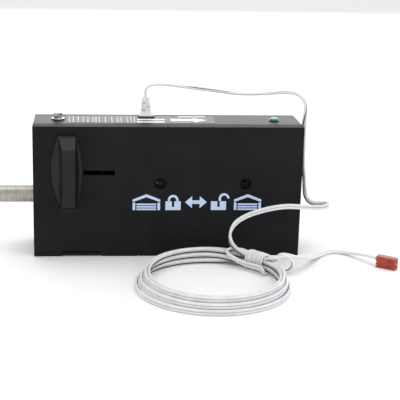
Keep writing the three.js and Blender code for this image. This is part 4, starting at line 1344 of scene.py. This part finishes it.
SOCKET_X, SOCKET_Y = -18.85, 16.25
plug_sections = [
    # height, half width, half depth, roundness, and how far the middle moves left
    (107.0, 5.3, 2.9, 6, 0), (107.4, 5.55, 3.15, 6, 0), (120.9, 5.55, 3.15, 6, 0), (122.2, 5.55, 3.15, 6, 0),
    (122.3, 6.9, 3.9, 5, 0), (122.7, 7.3, 4.2, 5, 0), (123.5, 7.25, 4.15, 5, 0), (124.4, 6.4, 3.7, 4, 0.1),
    (125.4, 5.3, 3.2, 3.5, 0.15), (126.4, 4.8, 3.0, 3, 0.2), (128.0, 4.65, 2.9, 3, 0.25),
    (134.0, 4.05, 2.6, 3, 0.5), (138.8, 3.55, 2.35, 3, 0.7), (139.7, 3.35, 2.1, 3, 0.72),
    (140.0, 3.0, 1.8, 3, 0.72),
]
RELIEF_DEPTH = 2.9  # from the plug's middle to the middle of a relief slot
RELIEF_STARTS = ((-16.9, 131.4), (-22.3, 128.1))  # x and height of the lowest slot on each side
RELIEF_STEP, RELIEF_SIZE = in_metres(0.3, 0, 6.8), in_metres(4.4, 4.0, 1.35)
plug = skinned(
    "moulded_plug",
    [rounded(SOCKET_X - left, SOCKET_Y, wide, deep, z, power) for z, wide, deep, power, left in plug_sections],
    finishes["plug_white"],
)
for start_x, start_z in RELIEF_STARTS:
    for way in (-1, 1):
        start = in_metres(start_x, SOCKET_Y + way * RELIEF_DEPTH, start_z)
        cut_row(plug, finishes["plug_white"], Count=2, Step=RELIEF_STEP, Start=start, Size=RELIEF_SIZE)
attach(plug, "case")
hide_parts("cord_plug")
print("plug:", span(plug), "open edges:", open_edges(plug))

# %% Socket flange
flange_sections = [(120.6, 7.5, 4.9), (121.1, 7.8, 5.15), (121.9, 7.75, 5.1), (122.25, 7.5, 4.85)]
flange = skinned(
    "socket_flange",
    [rounded(SOCKET_X, SOCKET_Y, wide, deep, z, 7) for z, wide, deep in flange_sections],
    finishes["component_black"],
)
settled(flange)
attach(flange, "case")
print("flange:", span(flange), "open edges:", open_edges(flange))

# %% [markdown]
# ## The lamp's lens
# The lens is turned: a stem down into the case, a rim that sits on it, and a low dome. The
# dome's profile stops a third of a millimetre short of the axis and is closed with a small
# flat cap, because a ring of points that all fall together shades badly.

# %% Turned lens
def turned(name, profile, cx, cy, material, steps=48):
    angles = [2 * math.pi * i / steps for i in range(steps)]
    rows = [[(cx + r * math.cos(a), cy + r * math.sin(a), z) for a in angles] for r, z in profile]
    return skinned(name, rows, material)


DOME_RISE, DOME_RADIUS, DOME_BASE = 1.9, 4.2, 122.1
lens_profile = [
    # radius and height, from the stem's foot to the rim's shoulder
    (2.2, 110.0), (2.5, 110.3), (2.5, 121.25), (4.5, LAMP_SEAT), (4.8, 121.5), (4.8, 121.8), (4.55, 122.05),
    (DOME_RADIUS, DOME_BASE),
]
dome_angles = np.linspace(0.12, 1.5, 9)
lens_profile += [(DOME_RADIUS * math.cos(t), DOME_BASE + DOME_RISE * math.sin(t)) for t in dome_angles]
lens = turned("lamp_lens", lens_profile, LAMP_X, LAMP_Y, finishes["lamp_green"])
settled(lens, sharp=50)
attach(lens, "case")
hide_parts("light_pipe")
print("lens:", span(lens), "open edges:", open_edges(lens))

# %% [markdown]
# ## The red connector
# The lead ends in a small red crimp connector. Its housing is a block with latch openings and
# a notched mating end. It is shaped lying along its own X axis, where its measures are plain,
# by the same row of cuts as the plug. Then its mesh is turned and moved to where the lead
# ends, and the object itself stays at the origin.

# %% Connector
CONNECTOR_PLACE = Vector((188.3, -59.4, 0.0)) * MM
CONNECTOR_TURN = math.radians(-36.6)
LENGTH, HALF_WIDE, HIGH = 18.5, 3.5, 10.5
CONNECTOR_CUTS = [
    # how many, their step up, the middle of the lowest one, and its size
    (3, 3.6, (0.4, 0, 1.6), (2.6, 8.0, 1.1)),  # grooves at the lead's end
    (2, 5.2, (13.6, -HALF_WIDE, 2.6), (3.4, 1.6, 1.5)),  # latch openings
    (2, 5.2, (LENGTH, 0, 2.6), (4.0, 3.6, 2.6)),  # mating end
]
red = finishes["connector_red"]
connector = slab("crimp_connector", (0.4, -HALF_WIDE, 0), (LENGTH, HALF_WIDE, HIGH), red)
for count, step, start, size in CONNECTOR_CUTS:
    start, size = in_metres(*start), in_metres(*size)
    cut_row(connector, red, Count=count, Step=in_metres(0, 0, step), Start=start, Size=size)
rounding = connector.modifiers.new("rounding", "BEVEL")
rounding.width = 0.22 * MM
rounding.segments = 2
rounding.limit_method = "ANGLE"
settled(connector)
connector.data.transform(Matrix.Translation(CONNECTOR_PLACE) @ Matrix.Rotation(CONNECTOR_TURN, 4, "Z"))
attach(connector, "case")
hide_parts("cord_connector")
print("connector:", span(connector), "open edges:", open_edges(connector))

# %% [markdown]
# ## The lead on the case
# The lead is attached to the case, and the CAD's lead pieces are hidden. The point where it
# leaves the plug is given in metres, and so is its path, the centre of every ring of its mesh.

# %% Lead in the frame
EXIT = in_metres(-19.5, 16.4, 140.4)
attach(lead, "case")
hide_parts("cord_run", "cord_coil", "cord_tie", "cord_tail")
(lead_line[:, :3] * MM).tolist()
